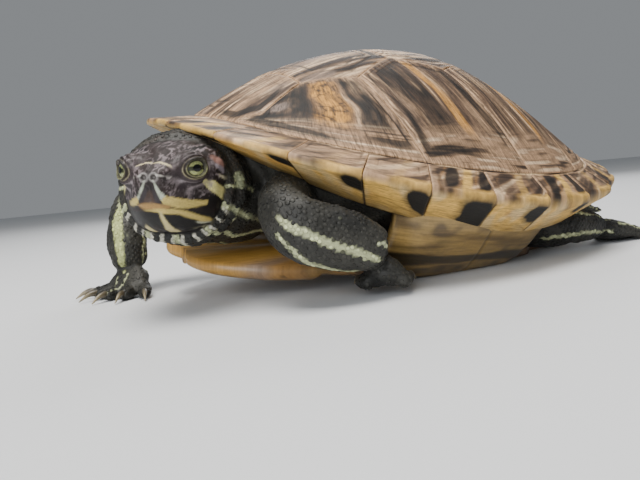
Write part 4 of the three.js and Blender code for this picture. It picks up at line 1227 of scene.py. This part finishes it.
# Everything else is a step along the normal.
n_head = outward @ np.array(head_matrix)[:3, :3]
qa = both_sides(q)
free = 1 - hold
lift = np.zeros(len(q))
socket = hill(eye_distance(q), 6.3, 1.0) * in_the_head
lift -= 0.45 * socket * free
mouth_far = stroke_distance(qa, MOUTH)[0]
lift -= 0.55 * hill(mouth_far, 0, 0.42) * in_the_head
above = ease(q[:, 2] + 7.2, 0.2, 0.8) * (1 - ease(q[:, 2] + 7.2, 1.6, 3.2)) * hill(mouth_far, 0, 2.6)
lift += 0.28 * above * in_the_head * (q[:, 0] > 2)
for side in (-1, 1):
    nostril = np.linalg.norm(q - (NOSTRIL[0], side * NOSTRIL[1], NOSTRIL[2]), axis=1)
    lift += (0.22 * hill(nostril, 0.95, 0.3) - 1.0 * hill(nostril, 0, 0.5)) * in_the_head
beak_cleft = 0.35 * hill(q[:, 1], 0, 0.9) * ease(q[:, 0], 12.6, 13.6)
lift -= beak_cleft * ease(-q[:, 2], 0, 2) * (1 - ease(-q[:, 2], 5, 6.5))
bridle = hill(qa[:, 1], 4.6, 1.3) * ease(q[:, 0], 2, 5) * (1 - ease(q[:, 0], 11, 13)) * (q[:, 2] > 1)
lift += 0.35 * bridle * in_the_head
cheek = np.c_[q[:, 0] / 4.6, q[:, 1] / 1.1, q[:, 2] / 1.2]
wrinkle = 1 - 2 * np.abs(layered(cheek + 0.5 * np.c_[cloud(cheek, 1.5, 41), q[:, :2] * 0], 1.0, 42))
on_crown = in_the_head * ease(q[:, 2], -1, 2.5) * free
lift += 0.13 * (wrinkle - 0.4) * on_crown
under_eye = in_the_head * hill(eye_distance(q), 8.0, 1.8) * (q[:, 2] < 0) * (q[:, 2] > -6.2) * free
lift += 0.17 * (wrinkle - 0.3) * under_eye
ear = np.hypot(q[:, 0] + 4.5, (q[:, 2] + 0.5) * 0.9)
lift -= 0.30 * hill(ear, 3.6, 0.7) * in_the_head * (qa[:, 1] > 8)
throat = in_the_head * ease(-q[:, 2], 11, 14)
lift += 0.16 * (1 - 2 * np.abs(cloud(q, (5, 1.3, 3), 43))) * throat
q = q + n_head * lift[:, None]
spots = carried(head_matrix, q)
print("head sculpted; opening points:", int((oval < 1.03).sum()))


def hood_distance(q, fold):
    """Distance from the middle line of a fold of the hood, and the angle round the head."""
    ahead, high, wide, tall, tube, yaw, lean_down = fold
    m = np.array((turned(yaw, "Z") @ turned(lean_down, "Y")).to_3x3())
    local = (q - (ahead, 0, high)) @ m
    angle = np.arctan2(local[:, 2] / tall, local[:, 1] / wide)
    on_crest = np.c_[local[:, 0] * 0, wide * np.cos(angle), tall * np.sin(angle)]
    return np.linalg.norm(local - on_crest, axis=1), angle

# %% [markdown]
# Loose skin on the neck, in the armpits and over the joints hangs in folds. To know which way folds,
# stripes and scales run, each point of the skin is given its place on the nearest limb: which limb,
# how far along its path, and the angle round it. The same numbers later unwrap the skin.

# %% Place of each point on its limb
LIMBS = {"neck": NECK, **LEGS, "tail": TAIL}
for foot, (heel, toes, width, *_) in FEET.items():
    tip = np.array(toes, float) + (np.array(toes) - heel) * (1, 1, 0) / 2.2
    LIMBS[foot] = [(*heel, width * 0.7, 5), (*toes, width, 3), (*tip, width, 3)]
limb_names = list(LIMBS)
nearest = np.full(len(spots), 1e9)
limb_of = np.zeros(len(spots), int)
share_along, angle_round, run_along = np.zeros(len(spots)), np.zeros(len(spots)), np.zeros(len(spots))
lie_ahead = np.zeros((len(spots), 3))
for k, name in enumerate(limb_names):
    path = spline(np.array(LIMBS[name], float), np.linspace(0, 1, 41))
    path[:, :3] += SHIFT
    walked = np.r_[0, np.cumsum(np.linalg.norm(np.diff(path[:, :3], axis=0), axis=1))]
    for j in range(40):
        a, b = path[j, :3], path[j + 1, :3]
        d = b - a
        t = np.clip(((spots - a) @ d) / (d @ d), 0, 1)
        off = spots - a - t[:, None] * d
        gap = np.linalg.norm(off, axis=1) / path[j, 3:].mean() * (1.15 if name == "neck" else 1)
        closer = gap < nearest
        nearest = np.where(closer, gap, nearest)
        ahead = d / np.linalg.norm(d)
        across = np.cross(ahead, (0, 0, 1))
        across /= np.linalg.norm(across)
        turn = np.arctan2(off @ np.cross(across, ahead), off @ across)
        limb_of = np.where(closer, k, limb_of)
        share_along = np.where(closer, (j + t) / 40, share_along)
        run_along = np.where(closer, walked[j] + t * (walked[j + 1] - walked[j]), run_along)
        angle_round = np.where(closer, turn, angle_round)
        lie_ahead = np.where(closer[:, None], ahead, lie_ahead)
bulk = np.array([np.mean([k[3] for k in LIMBS[n]]) for n in limb_names])[limb_of]
round_mm = angle_round * bulk
is_limb = {name: limb_of == k for k, name in enumerate(limb_names)}
core = ease(nearest, 1.25, 1.8)  # trunk between the limbs
body = ~in_the_head
skin_lift = np.zeros(len(spots))
fold = 1 - 2 * np.abs(cloud(np.c_[run_along / 3.4, round_mm / 26, limb_of * 9.0], 1.0, 51))
loose = np.where(is_limb["neck"], 0.75, 0.25) + 0.35 * core
skin_lift += (fold - 0.5) * 0.55 * loose * body
skin_lift += 0.5 * layered(spots, 6.5, 52) * body
crease = 1 - 2 * np.abs(cloud(spots + 2 * np.c_[cloud(spots, 5, 54), spots[:, :2] * 0], 3.1, 53))
skin_lift -= 0.18 * ease(crease, 0.62, 0.95) * body
spots = spots + outward * skin_lift[:, None]
spots[:, 2] = np.maximum(spots[:, 2], 0.12)
give_points(skin_net, spots * MM)
outward = normals_of(skin_net)
print({name: int(is_limb[name].sum()) for name in limb_names})

# %% [markdown]
# A slider's markings are cream and yellow stripes on nearly black skin. Each stripe is a smooth
# line through a few places in space, with a half width at each, painted on whatever skin is near
# it. The head's are in the head's axes and serve both sides. On the limbs that have no stripe of
# their own, stripes run along the limb at a few angles. Scales over the skin take their colour from
# the same points, so that the skin and its coat always agree.

# %% Paint the skin
SLATE, INK, PALE, JAW = "281e1c", "100e0e", "9c8e90", "bda862"
HEAD_STROKES = [
    # colour, softness, line of (ahead, out, up, half width)
    ("161413", 0.6, [(12.5, 0, -10.5, 2.6), (8, 5.5, -11.6, 3.0), (3, 9, -12.6, 3.0), (-3, 12, -13.4, 2.4)]),
    ("3d2f28", 0.8, [(13.9, 0.0, -3.6, 0.8), (13.9, 1.2, -5.2, 1.2), (13.9, 0, -6.0, 1.4)]),
    ("2d2729", 0.35, [(14.2, 0, 0.2, 0.25), (14.1, 0.5, -1.8, 0.5), (13.9, 1.6, -4.2, 0.7),
                      (13.3, 3.2, -6.1, 0.6)]),
    ("cdbf92", 0.12, [(10.4, 0, 3.9, 0.4), (9.8, 1.6, 4.0, 0.42), (10.2, 3.6, 3.5, 0.46),
                      (10.3, 5.5, 2.6, 0.5)]),
    ("c3bdb4", 0.2, [(13.9, 2.0, 1.0, 0.3), (13.1, 4.1, 0.6, 0.42), (11.6, 5.7, -0.1, 0.46),
                     (9.8, 7.2, -1.6, 0.4)]),
    ("a9b09c", 0.2, [(14.1, 1.1, -0.4, 0.36), (14.0, 1.9, -2.2, 0.5), (13.8, 2.9, -3.8, 0.6),
                     (12.9, 4.0, -5.4, 0.75)]),
    (JAW, 0.2, [(12.8, 4.1, -5.5, 1.0), (10.2, 6.6, -6.7, 1.2), (6.5, 9.1, -7.5, 0.95),
                (2.8, 11.5, -7.8, 0.55)]),
    ("9c7b4a", 0.5, [(13.9, 0, -7.0, 0.95), (13.4, 2.2, -7.0, 0.75), (12.2, 4.6, -7.3, 0.4)]),
    (JAW, 0.2, [(13.7, 0, -8.2, 0.7), (13.2, 2.7, -8.3, 0.75), (10.2, 6.2, -8.9, 0.6), (7.4, 8.4, -10.3, 0.8),
                (4.4, 10.6, -12.0, 1.1), (0.5, 12.3, -13.6, 1.3), (-4, 13.4, -14.8, 1.3)]),
    ("c2b480", 0.2, [(13.3, 2.7, -8.8, 0.75), (11.6, 2.9, -11.2, 0.9), (8.5, 3.1, -13.9, 1.25),
                     (3.5, 3.2, -16.0, 1.5)]),
    ("a8a893", 0.12, [(11.2, 5.3, -9.8, 0.2), (8.2, 7.4, -11.6, 0.26), (3, 10.0, -13.2, 0.3),
                      (-2, 11.8, -14, 0.25)]),
    ("a09d84", 0.12, [(13.1, 0.7, -9.6, 0.2), (11.8, 0.9, -11.6, 0.24), (9.6, 1.0, -13.2, 0.22)]),
    ("9d9a7c", 0.5, [(9, 4.5, -14.3, 0.5), (4, 8.2, -15.3, 0.7), (-1, 10.4, -15.6, 0.9),
                     (-6, 11.2, -15.8, 0.9)]),
    ("d3ca86", 0.2, [(3.4, 11.2, -2.2, 0.7), (1.2, 12.6, -3.6, 1.3), (-2.5, 13.8, -5.6, 1.6),
                     (-7.5, 14.4, -8.6, 1.7)]),
    ("cbc3a4", 0.15, [(1.4, 12.4, 0.7, 0.28), (-1.6, 13.6, -1.0, 0.4), (-5.9, 14.4, -2.8, 0.42)]),
    ("857d84", 0.4, [(-0.5, 12.7, 2.3, 0.5), (-4.5, 14.2, -0.3, 0.9)]),
    ("8d6a61", 0.6, [(-0.6, 11.9, 4.2, 0.5), (-2.6, 13.0, 3.1, 1.2), (-5.5, 13.9, 1.6, 1.1)]),
    ("9c9092", 0.12, [(11.2, 6.4, -3.3, 0.15), (9.5, 7.7, -5.0, 0.22), (6.6, 9.4, -5.3, 0.2),
                      (3.4, 11.2, -4.4, 0.2)]),
]
CREAM_GREEN = "a9ad86"
BODY_STROKES = [
    (CREAM_GREEN, [(-74.5, -50.2, 29.4, 0.37), (-74.8, -52.7, 25.7, 0.59), (-72.2, -55.5, 22.6, 0.71),
                   (-69.1, -57.8, 20.6, 0.71),
                   (-64.8, -59.9, 17.8, 0.65), (-60.0, -61.4, 15.6, 0.62), (-55.3, -62.0, 13.5, 0.59),
                   (-51.0, -63.1, 11.4, 0.68),
                   (-46.1, -64.2, 9.6, 0.56)]),
    (CREAM_GREEN, [(-74.2, -51.8, 20.9, 0.15), (-71.5, -54.0, 16.9, 0.37), (-68.7, -55.2, 13.6, 0.53),
                   (-64.6, -56.3, 11.0, 0.53),
                   (-59.1, -57.7, 9.0, 0.5), (-53.1, -59.2, 7.4, 0.43)]),
    ("a9ae8c", [(-60.1, -59.7, 23.2, 0.19), (-54.6, -59.9, 21.2, 0.31), (-48.6, -60.2, 18.8, 0.22)]),
    ("a9ae8c", [(-50.1, -62.6, 15.6, 0.25), (-46.1, -63.2, 14.2, 0.28)]),
    ("a2a76f", [(-86.1, 32.8, 33.0, 1.18), (-89.8, 32.0, 28.1, 1.36), (-92.0, 27.6, 21.3, 1.43),
                (-92.4, 26.1, 15.2, 1.3),
                (-92.1, 26.5, 9.4, 0.87)]),
    ("8f9468", [(-83.3, 26.5, 22, 0.5), (-82.0, 26.9, 14.5, 0.62), (-84.1, 24.3, 8, 0.56)]),
    ("7c8064", [(-73.6, -29.7, 38, 0.99), (-73.1, -34.7, 33.5, 1.49), (-71.6, -34.2, 27.5, 1.24)]),
    ("b9bb97", [(-78.1, -27.5, 31, 0.62), (-76.6, -28.7, 26.5, 0.74), (-71.6, -28.7, 22.5, 0.62)]),
]
LIMB_STRIPES = {  # angle in degrees, half width in mm
    "foreleg_right": [(150, 1.1), (-160, 0.8), (95, 0.7)],
    "hindleg_left": [(35, 0.7), (-25, 0.9), (120, 0.6)],
    "hindleg_right": [(150, 0.9), (-155, 0.9), (60, 0.7)],
    "hindfoot_left": [(20, 0.7), (80, 0.6), (150, 0.7)],
    "hindfoot_right": [(20, 0.7), (80, 0.6), (150, 0.7)],
    "forefoot_right": [(60, 0.6), (120, 0.6)],
    "tail": [(30, 0.5), (90, 0.5), (150, 0.5), (-40, 0.5), (-140, 0.5)],
    "neck": [(-150, 0.9), (-120, 0.8), (-90, 0.9), (-60, 0.8), (-30, 0.9), (-8, 0.5), (188, 0.5)],
}
q = in_head(spots)
lean = np.c_[q[:, 0], q[:, 1] + 0.10 * np.maximum(0, -q[:, 2] - 1), q[:, 2]]
qa = both_sides(lean)
r, oval, way, facing = eye_frame(q)
tone = layered(spots, 7, 61)
paint = plain("1f1f1d", spots)
paint = lay(paint, "34332e", 0.5 + tone)
paint = lay(paint, "4d4a40", ease(layered(spots, 3.2, 62), 0.25, 0.6) * 0.6 * core)
head_paint = lay(plain(SLATE, spots), INK, 0.35 + 0.9 * cloud(q, (6, 3, 3), 63))
fibre_bend = 0.35 * np.c_[cloud(q, 2.5, 44), q[:, :2] * 0]
fibre_at = np.c_[q[:, 0] / 5.5, q[:, 1] / 0.85, q[:, 2] / 1.1] + fibre_bend
fibre = 1 - 2 * np.abs(layered(fibre_at, 1.0, 45))
dim = 0.55 + 0.9 * cloud(q, 3.5, 46)
fibre_cover = ease(fibre, 0.62, 0.98) * in_the_head * (q[:, 2] > -6) * np.clip(dim, 0.1, 1)
head_paint = lay(head_paint, PALE, fibre_cover * 0.62)
# Pale on the crests of the wrinkles under the eye, where the skin is raised most: a painted highlight.
head_paint = lay(head_paint, PALE, ease(wrinkle, 0.74, 1.0) * under_eye * 0.6)
for colour, soft, knots in HEAD_STROKES:
    far, half = stroke_distance(qa, knots)
    head_paint = lay(head_paint, colour, 1 - ease(far, half - soft * 0.5, half + soft * 0.7 + 0.08))
head_paint = lay(head_paint, "35301f", hill(mouth_far, 0, 0.3) * (mouth_far < 1) * 0.8)
for side in (-1, 1):
    pit = np.linalg.norm(q - (NOSTRIL[0], side * NOSTRIL[1], NOSTRIL[2]), axis=1)
    head_paint = lay(head_paint, "8f8a86", hill(pit, 1.05, 0.3) * 0.7)
    head_paint = lay(head_paint, "0e0c0b", 1 - ease(pit, 0.4, 0.7))
close = (eye_distance(q) < 7.6) & (facing > 0)
# Rings round the eye: how far out against the opening, half width and colour. The first, yellow-green ring is
# the lid's own rim. The later rings are partly painted light: the pale ones are painted highlights on the lids'
# wrinkles and the dark ones painted shade between them.
rings = [
    (1.09, 0.05, "8f9064"), (1.24, 0.10, "2b2619"), (1.42, 0.05, "928a6c"), (1.58, 0.10, "3a3133"),
    (1.78, 0.07, "8f8486"), (1.95, 0.10, "352c2f"), (2.2, 0.08, "857a7c"),
]
for at, half, colour in rings:
    # The rings fade towards the top, so the top stays dark: painted shade under the upper lid, with some random
    # patchiness.
    shade = (0.95 - 0.7 * ease(way[:, 2], 0.05, 0.4)) * (0.8 + 0.5 * cloud(q, 1.1, 47))
    head_paint = lay(head_paint, colour, hill(oval, at, half) * close * shade)
# A dark band on the upper lid, just above the opening: painted shade of the heavy upper lid.
head_paint = lay(head_paint, "120e0d", hill(oval, 1.2, 0.14) * close * ease(way[:, 2], 0.1, 0.35) * 0.85)
head_paint = lay(head_paint, "0b0a08", (1 - ease(oval, 0.96, 1.04)) * close)
rear = ease(-q[:, 0], 4.6, 6.6)
off_fold, fold_angle = hood_distance(q, HOOD[0])
on_fold = 1 - ease(off_fold, HOOD[0][4] + 0.1, HOOD[0][4] + 0.7)
rear = np.maximum(rear, on_fold)
# A dark band just outside the first fold of the hood, on the crown: painted shade in the crease where the fold
# stands off the head.
gap = hill(off_fold - HOOD[0][4], 0.55, 0.6) * (q[:, 0] > -7.5)
head_paint = lay(head_paint, "0d0b0b", gap * 0.85)
near_hood = hill(off_fold, 0, 4.5)
paint = lay(paint, "4a3d37", (0.1 + 0.5 * cloud(spots, 1.4, 64)) * near_hood * (q[:, 2] > -9))
under = np.abs(np.angle(np.exp(1j * (fold_angle + math.pi / 2))))
blocks = ease(np.abs(np.mod(fold_angle * 5.2 + 0.35 * cloud(spots, 5, 66), 1) - 0.5), 0.1, 0.2)
hood_cover = (1 - ease(off_fold, 2.2, 3.2)) * (1 - blocks) * (1 - ease(under, 1.0, 1.35))
paint = lay(paint, "b7b4a4", hood_cover * 0.92)
for name, stripes in LIMB_STRIPES.items():
    mine = is_limb[name] & (nearest < 1.6)
    for degrees, half in stripes:
        bend = 0.18 * cloud(np.c_[run_along / 9, spots[:, :2] * 0], 1.0, 67 + degrees)
        off = np.abs(np.angle(np.exp(1j * (angle_round - math.radians(degrees) - bend)))) * bulk
        broken = ease(cloud(np.c_[run_along / 7, spots[:, :2] * 0], 1.0, 68 + degrees), -0.65, -0.35)
        paint = lay(paint, CREAM_GREEN, (1 - ease(off, half * 0.75, half * 1.15)) * mine * broken * 0.85)
for colour, knots in BODY_STROKES:
    far, half = stroke_distance(spots - np.array(SHIFT), knots)
    paint = lay(paint, colour, 1 - ease(far + 0.22 * cloud(spots, 1.3, 65), half + 0.1, half + 0.55))
only_head = np.clip(in_the_head * (1 - rear), 0, 1)
skin_paint = paint + (head_paint - paint) * only_head[:, None]
skin_lie = np.c_[round_mm, run_along, limb_of * 5.0]
give_paint(skin_net, skin_paint, skin_lie)
skin_finish = finish(
    "striped_skin", (0.5, 1.4), 0.3, (0.5, 0.16), (0.45, 0.7), 0.04, specular=0.28, speckle=(0.35, 0.5)
)
FLESH = ["head", "neck", "trunk", "tail", *LEGS, *FEET]
piece("skin", skin_net, skin_finish, FLESH)
print("skin painted")

# %% [markdown]
# Scales cover the skin everywhere but on the head. Each is a small six-sided dome with its far edge
# raised, so that scales overlap as shingles do along the limb. They are set at points of the skin
# that are kept a scale's width apart, in a fixed random order, and copied with numpy arrays into
# one closed mesh per limb. Their OFBake map puts every scale at its root's place on an unwrap of
# the skin round and along the limb.

# %% One scale
bm = bmesh.new()
bmesh.ops.create_cone(bm, cap_ends=True, segments=6, radius1=1, radius2=0.66, depth=0.5)
top = [f for f in bm.faces if f.calc_center_median().z > 0.2]
centre = bmesh.ops.poke(bm, faces=top, offset=0.14)["verts"]
bmesh.ops.translate(bm, verts=[v for v in bm.verts if v.co.x > 0.3], vec=(0, 0, 0.16))
bmesh.ops.triangulate(bm, faces=bm.faces)
bm.verts.index_update()
scale_points = np.array([v.co for v in bm.verts])
scale_faces = np.array([[v.index for v in f.verts] for f in bm.faces])
bm.free()
print("a scale has", len(scale_faces), "triangles")

# %% [markdown]
# On a real limb the scales are close set, but never on top of each other's roots. So roots are
# drawn from the skin's points in a fixed random order, and one too near another is left out. A
# grid of cells keeps the search short.

# %% Spread scales over the limbs
SCALE_SEED = 19
rng = np.random.default_rng(SCALE_SEED)


def kept_apart(indices, spacing):
    """Some of the points, in random order, no two nearer than spacing in mm."""
    cells, kept = {}, []
    for i in rng.permutation(indices):
        p = spots[i]
        gap = spacing[i]
        key = tuple(np.floor(p / 1.6).astype(int))
        close = False
        for off in np.ndindex(3, 3, 3):
            for j in cells.get((key[0] + off[0] - 1, key[1] + off[1] - 1, key[2] + off[2] - 1), ()):
                other = spots[j]
                if (p[0] - other[0]) ** 2 + (p[1] - other[1]) ** 2 + (p[2] - other[2]) ** 2 < gap * gap:
                    close = True
                    break
            if close:
                break
        if not close:
            cells.setdefault(key, []).append(i)
            kept.append(i)
    return np.array(kept)


def scale_coat(name, names, size, most=8800):
    mine = np.any([is_limb[n] for n in names], axis=0) & (body | (rear > 0.9)) & (nearest < 2.6)
    shell_frame = carried(body_matrix.inverted(), spots)
    high, turn, share = dome(shell_frame[:, 0], shell_frame[:, 1])
    hidden = (share < 0.60) & (shell_frame[:, 2] > 3)
    spacing = size * (0.86 + 0.28 * ease(cloud(spots, 9, 71), -0.4, 0.5))
    roots = kept_apart(np.flatnonzero(mine & ~hidden), spacing)[:most]
    n = outward[roots]
    ahead = lie_ahead[roots] - n * np.sum(lie_ahead[roots] * n, axis=1)[:, None]
    ahead += 1e-6
    ahead /= np.linalg.norm(ahead, axis=1)[:, None]
    across = np.cross(n, ahead)
    wide = spacing[roots] * rng.uniform(0.52, 0.60, len(roots))
    tall = wide * rng.uniform(0.26, 0.40, len(roots))
    t = scale_points
    points = spots[roots][:, None] + ahead[:, None] * t[None, :, :1] * (wide * 1.12)[:, None, None]
    points = points + across[:, None] * t[None, :, 1:2] * wide[:, None, None]
    points = points + n[:, None] * t[None, :, 2:3] * tall[:, None, None]
    points[..., 2] = np.maximum(points[..., 2], 0.02)
    faces = (scale_faces[None] + np.arange(len(roots))[:, None, None] * len(t)).reshape(-1, 3)
    mesh = bpy.data.meshes.new(name)
    mesh.from_pydata((points.reshape(-1, 3) * MM).tolist(), [], faces.tolist())
    dusk = rng.uniform(0.72, 1.3, (len(roots), 1))
    colour = np.repeat(np.clip(skin_paint[roots] * dusk, 0, 1), len(t), axis=0)
    # Each scale is darker low on its sides and lighter on its raised top: painted shade and highlight.
    rise = np.tile(t[:, 2], len(roots))
    colour = colour * (0.72 + 0.5 * ease(rise, -0.25, 0.4))[:, None]
    give_paint(mesh, colour, np.repeat(skin_lie[roots], len(t), axis=0) + points.reshape(-1, 3) * 0.2)
    share_round = angle_round[roots] / (2 * math.pi) + 0.5
    unwrap = np.c_[share_round, (limb_of[roots] + share_along[roots]) / len(limb_names)]
    spot_uv = 0.02 + 0.96 * np.repeat(unwrap, len(t), axis=0) + np.tile(t[:, :2], (len(roots), 1)) * 0.0015
    layer = mesh.uv_layers.new(name="OFBake")
    layer.data.foreach_set("uv", spot_uv[faces.ravel()].astype(np.float32).ravel())
    piece(name, mesh, scale_finish, names)
    print(name, len(roots), "scales,", len(faces), "triangles")


scale_finish = finish(
    "skin_scales", (0.3, 0.9), 0.24, (0.35, 0.1), (0.46, 0.7), 0.04, specular=0.24, speckle=(0.25, 0.5)
)
scale_coat("scales_neck", ["neck"], 0.98)
scale_coat("scales_foreleg_left", ["foreleg_left", "forefoot_left"], 1.25)
scale_coat("scales_foreleg_right", ["foreleg_right", "forefoot_right"], 1.2)
scale_coat("scales_hindleg_left", ["hindleg_left", "hindfoot_left"], 1.35)
scale_coat("scales_hindleg_right", ["hindleg_right", "hindfoot_right"], 1.35)
scale_coat("scales_tail", ["tail"], 1.1)

# %% [markdown]
# An eye is a wet ball: a yellow-green iris with a round black pupil and a dark bar across it, which
# carries on the stripes of the face. The ball is turned so that its pole looks out along the eye's
# axis, and bulges a little there, as the cornea does. Colours come from the angle off that axis.

# %% Eyes
eye_finish = finish(
    "wet_eye", (0.25, 0.6), 0.14, (0.02, 0.02), (0.08, 0.16), 0.15, specular=0.25, speckle=(0.3, 0.4)
)
for name, side in (("eye_left", 1), ("eye_right", -1)):
    bm = bmesh.new()
    bmesh.ops.create_uvsphere(bm, u_segments=96, v_segments=80, radius=1)
    mesh = mesh_of(name, bm)
    ball = points_of(mesh)
    off = np.arccos(np.clip(ball[:, 2], -1, 1))
    radius = EYE_RADIUS * (1 + 0.035 * (1 - ease(off, 0.25, 0.62)))
    axis = Vector((EYE_AXIS[0], side * EYE_AXIS[1], EYE_AXIS[2]))
    across = axis.cross(Vector((0, 0, 1))).normalized()
    turn_to = Matrix((across, axis.cross(across) * -1, axis)).transposed()
    local = ball @ np.array(turn_to).T
    on_ball = local * radius[:, None] + (EYE_FORWARD, side * EYE_OUT, EYE_UP)
    give_points(mesh, carried(head_matrix, on_ball) * MM)
    spoke = np.arctan2(ball[:, 1], ball[:, 0])
    speck = cloud(np.c_[np.cos(spoke) * 6, np.sin(spoke) * 6, off * 5], 1.0, 81)
    iris = lay(plain("737c52", ball), "9a9f68", 0.4 + speck)
    iris = lay(iris, "b3b47a", hill(off, 0.44, 0.06) * 0.7)
    iris = lay(iris, "454a26", ease(off, 0.5, 0.66))
    bar = (1 - ease(np.abs(ball[:, 1]), 0.09, 0.18)) * ease(off, 0.18, 0.24)
    iris = lay(iris, "191a16", bar * 0.92)
    iris = lay(iris, "b5b672", hill(off, 0.29, 0.02) * (1 - bar) * 0.5)
    iris = lay(iris, "050505", 1 - ease(np.hypot(ball[:, 0] * 0.8, ball[:, 1]), 0.21, 0.25))
    iris = lay(iris, "24221c", ease(off, 0.72, 0.85))
    give_paint(mesh, iris, np.c_[spoke * 3, off * 5, off * 0])
    faces_out(mesh)
    piece(name, mesh, eye_finish, [name])
print("two eyes")

# %% [markdown]
# Claws are curved cones of dark horn, paler at the tip. Each follows the line of its CAD claw: a
# ball is drawn out along a short path that bends down, and thins to a point.

# %% Claws
CLAW_LENGTH, CLAW_RADIUS = 7, 1.15
claw_finish = finish("claw_horn", (0.25, 2.5), 0.3, (0.3, 0.08), (0.3, 0.5), 0.2)
for foot_name, foot in FEET.items():
    for k, (root, ahead) in enumerate(toes_of(foot), 1):
        level, start = foot[1][2], TOE_LENGTH - 2.2
        knots = []
        for reach, height, wide in ((0, 0.5, 1.0), (0.3, 0.75, 0.95), (0.62, 0.25, 0.62), (1.0, None, 0.16)):
            p = root + ahead * (start + (CLAW_LENGTH + 0.7) * reach)
            z = max(0.42, level - 1.6) if height is None else level + height
            knots.append((p[0], p[1], z, CLAW_RADIUS * wide * 0.85, CLAW_RADIUS * wide))
        bm = bmesh.new()
        limb_ball(bm, knots, 16, 26, 0.4, 0.0)
        bmesh.ops.recalc_face_normals(bm, faces=bm.faces)
        mesh = mesh_of("claw", bm)
        co = points_of(mesh)
        far = (co[:, :2] - root[:2]) @ ahead[:2] - start
        co[:, 2] = np.maximum(co[:, 2], 0.05)
        give_points(mesh, (co + np.array(SHIFT)) * MM)
        horn = lay(plain("4a4233", co), "8c7f61", ease(far, 2.5, CLAW_LENGTH))
        horn = lay(horn, "2c2822", ease(cloud(np.c_[far, co[:, :2] * 3], 1.2, 90 + k), 0.2, 0.6) * 0.6)
        give_paint(mesh, horn, np.c_[co[:, 1], far, co[:, 2]])
        name = f"claw_{foot_name}_{k}"
        faces_out(mesh)
        piece(name, mesh, claw_finish, [name])
print("18 claws")

# %% [markdown]
# A plain pale floor, wide enough for every view, completes the studio.

# %% Floor and finish
bm = bmesh.new()
bmesh.ops.create_grid(bm, x_segments=1, y_segments=1, size=3)
floor_mesh = mesh_of("floor", bm)
floor = bpy.data.objects.new("floor", floor_mesh)
bpy.context.scene.collection.objects.link(floor)
floor_paint = bpy.data.materials.new("pale_floor")
floor_paint.use_nodes = True
floor_shader = floor_paint.node_tree.nodes["Principled BSDF"]
floor_shader.inputs["Base Color"].default_value = (0.62, 0.63, 0.64, 1)
floor_shader.inputs["Roughness"].default_value = 0.75
floor_mesh.materials.append(floor_paint)
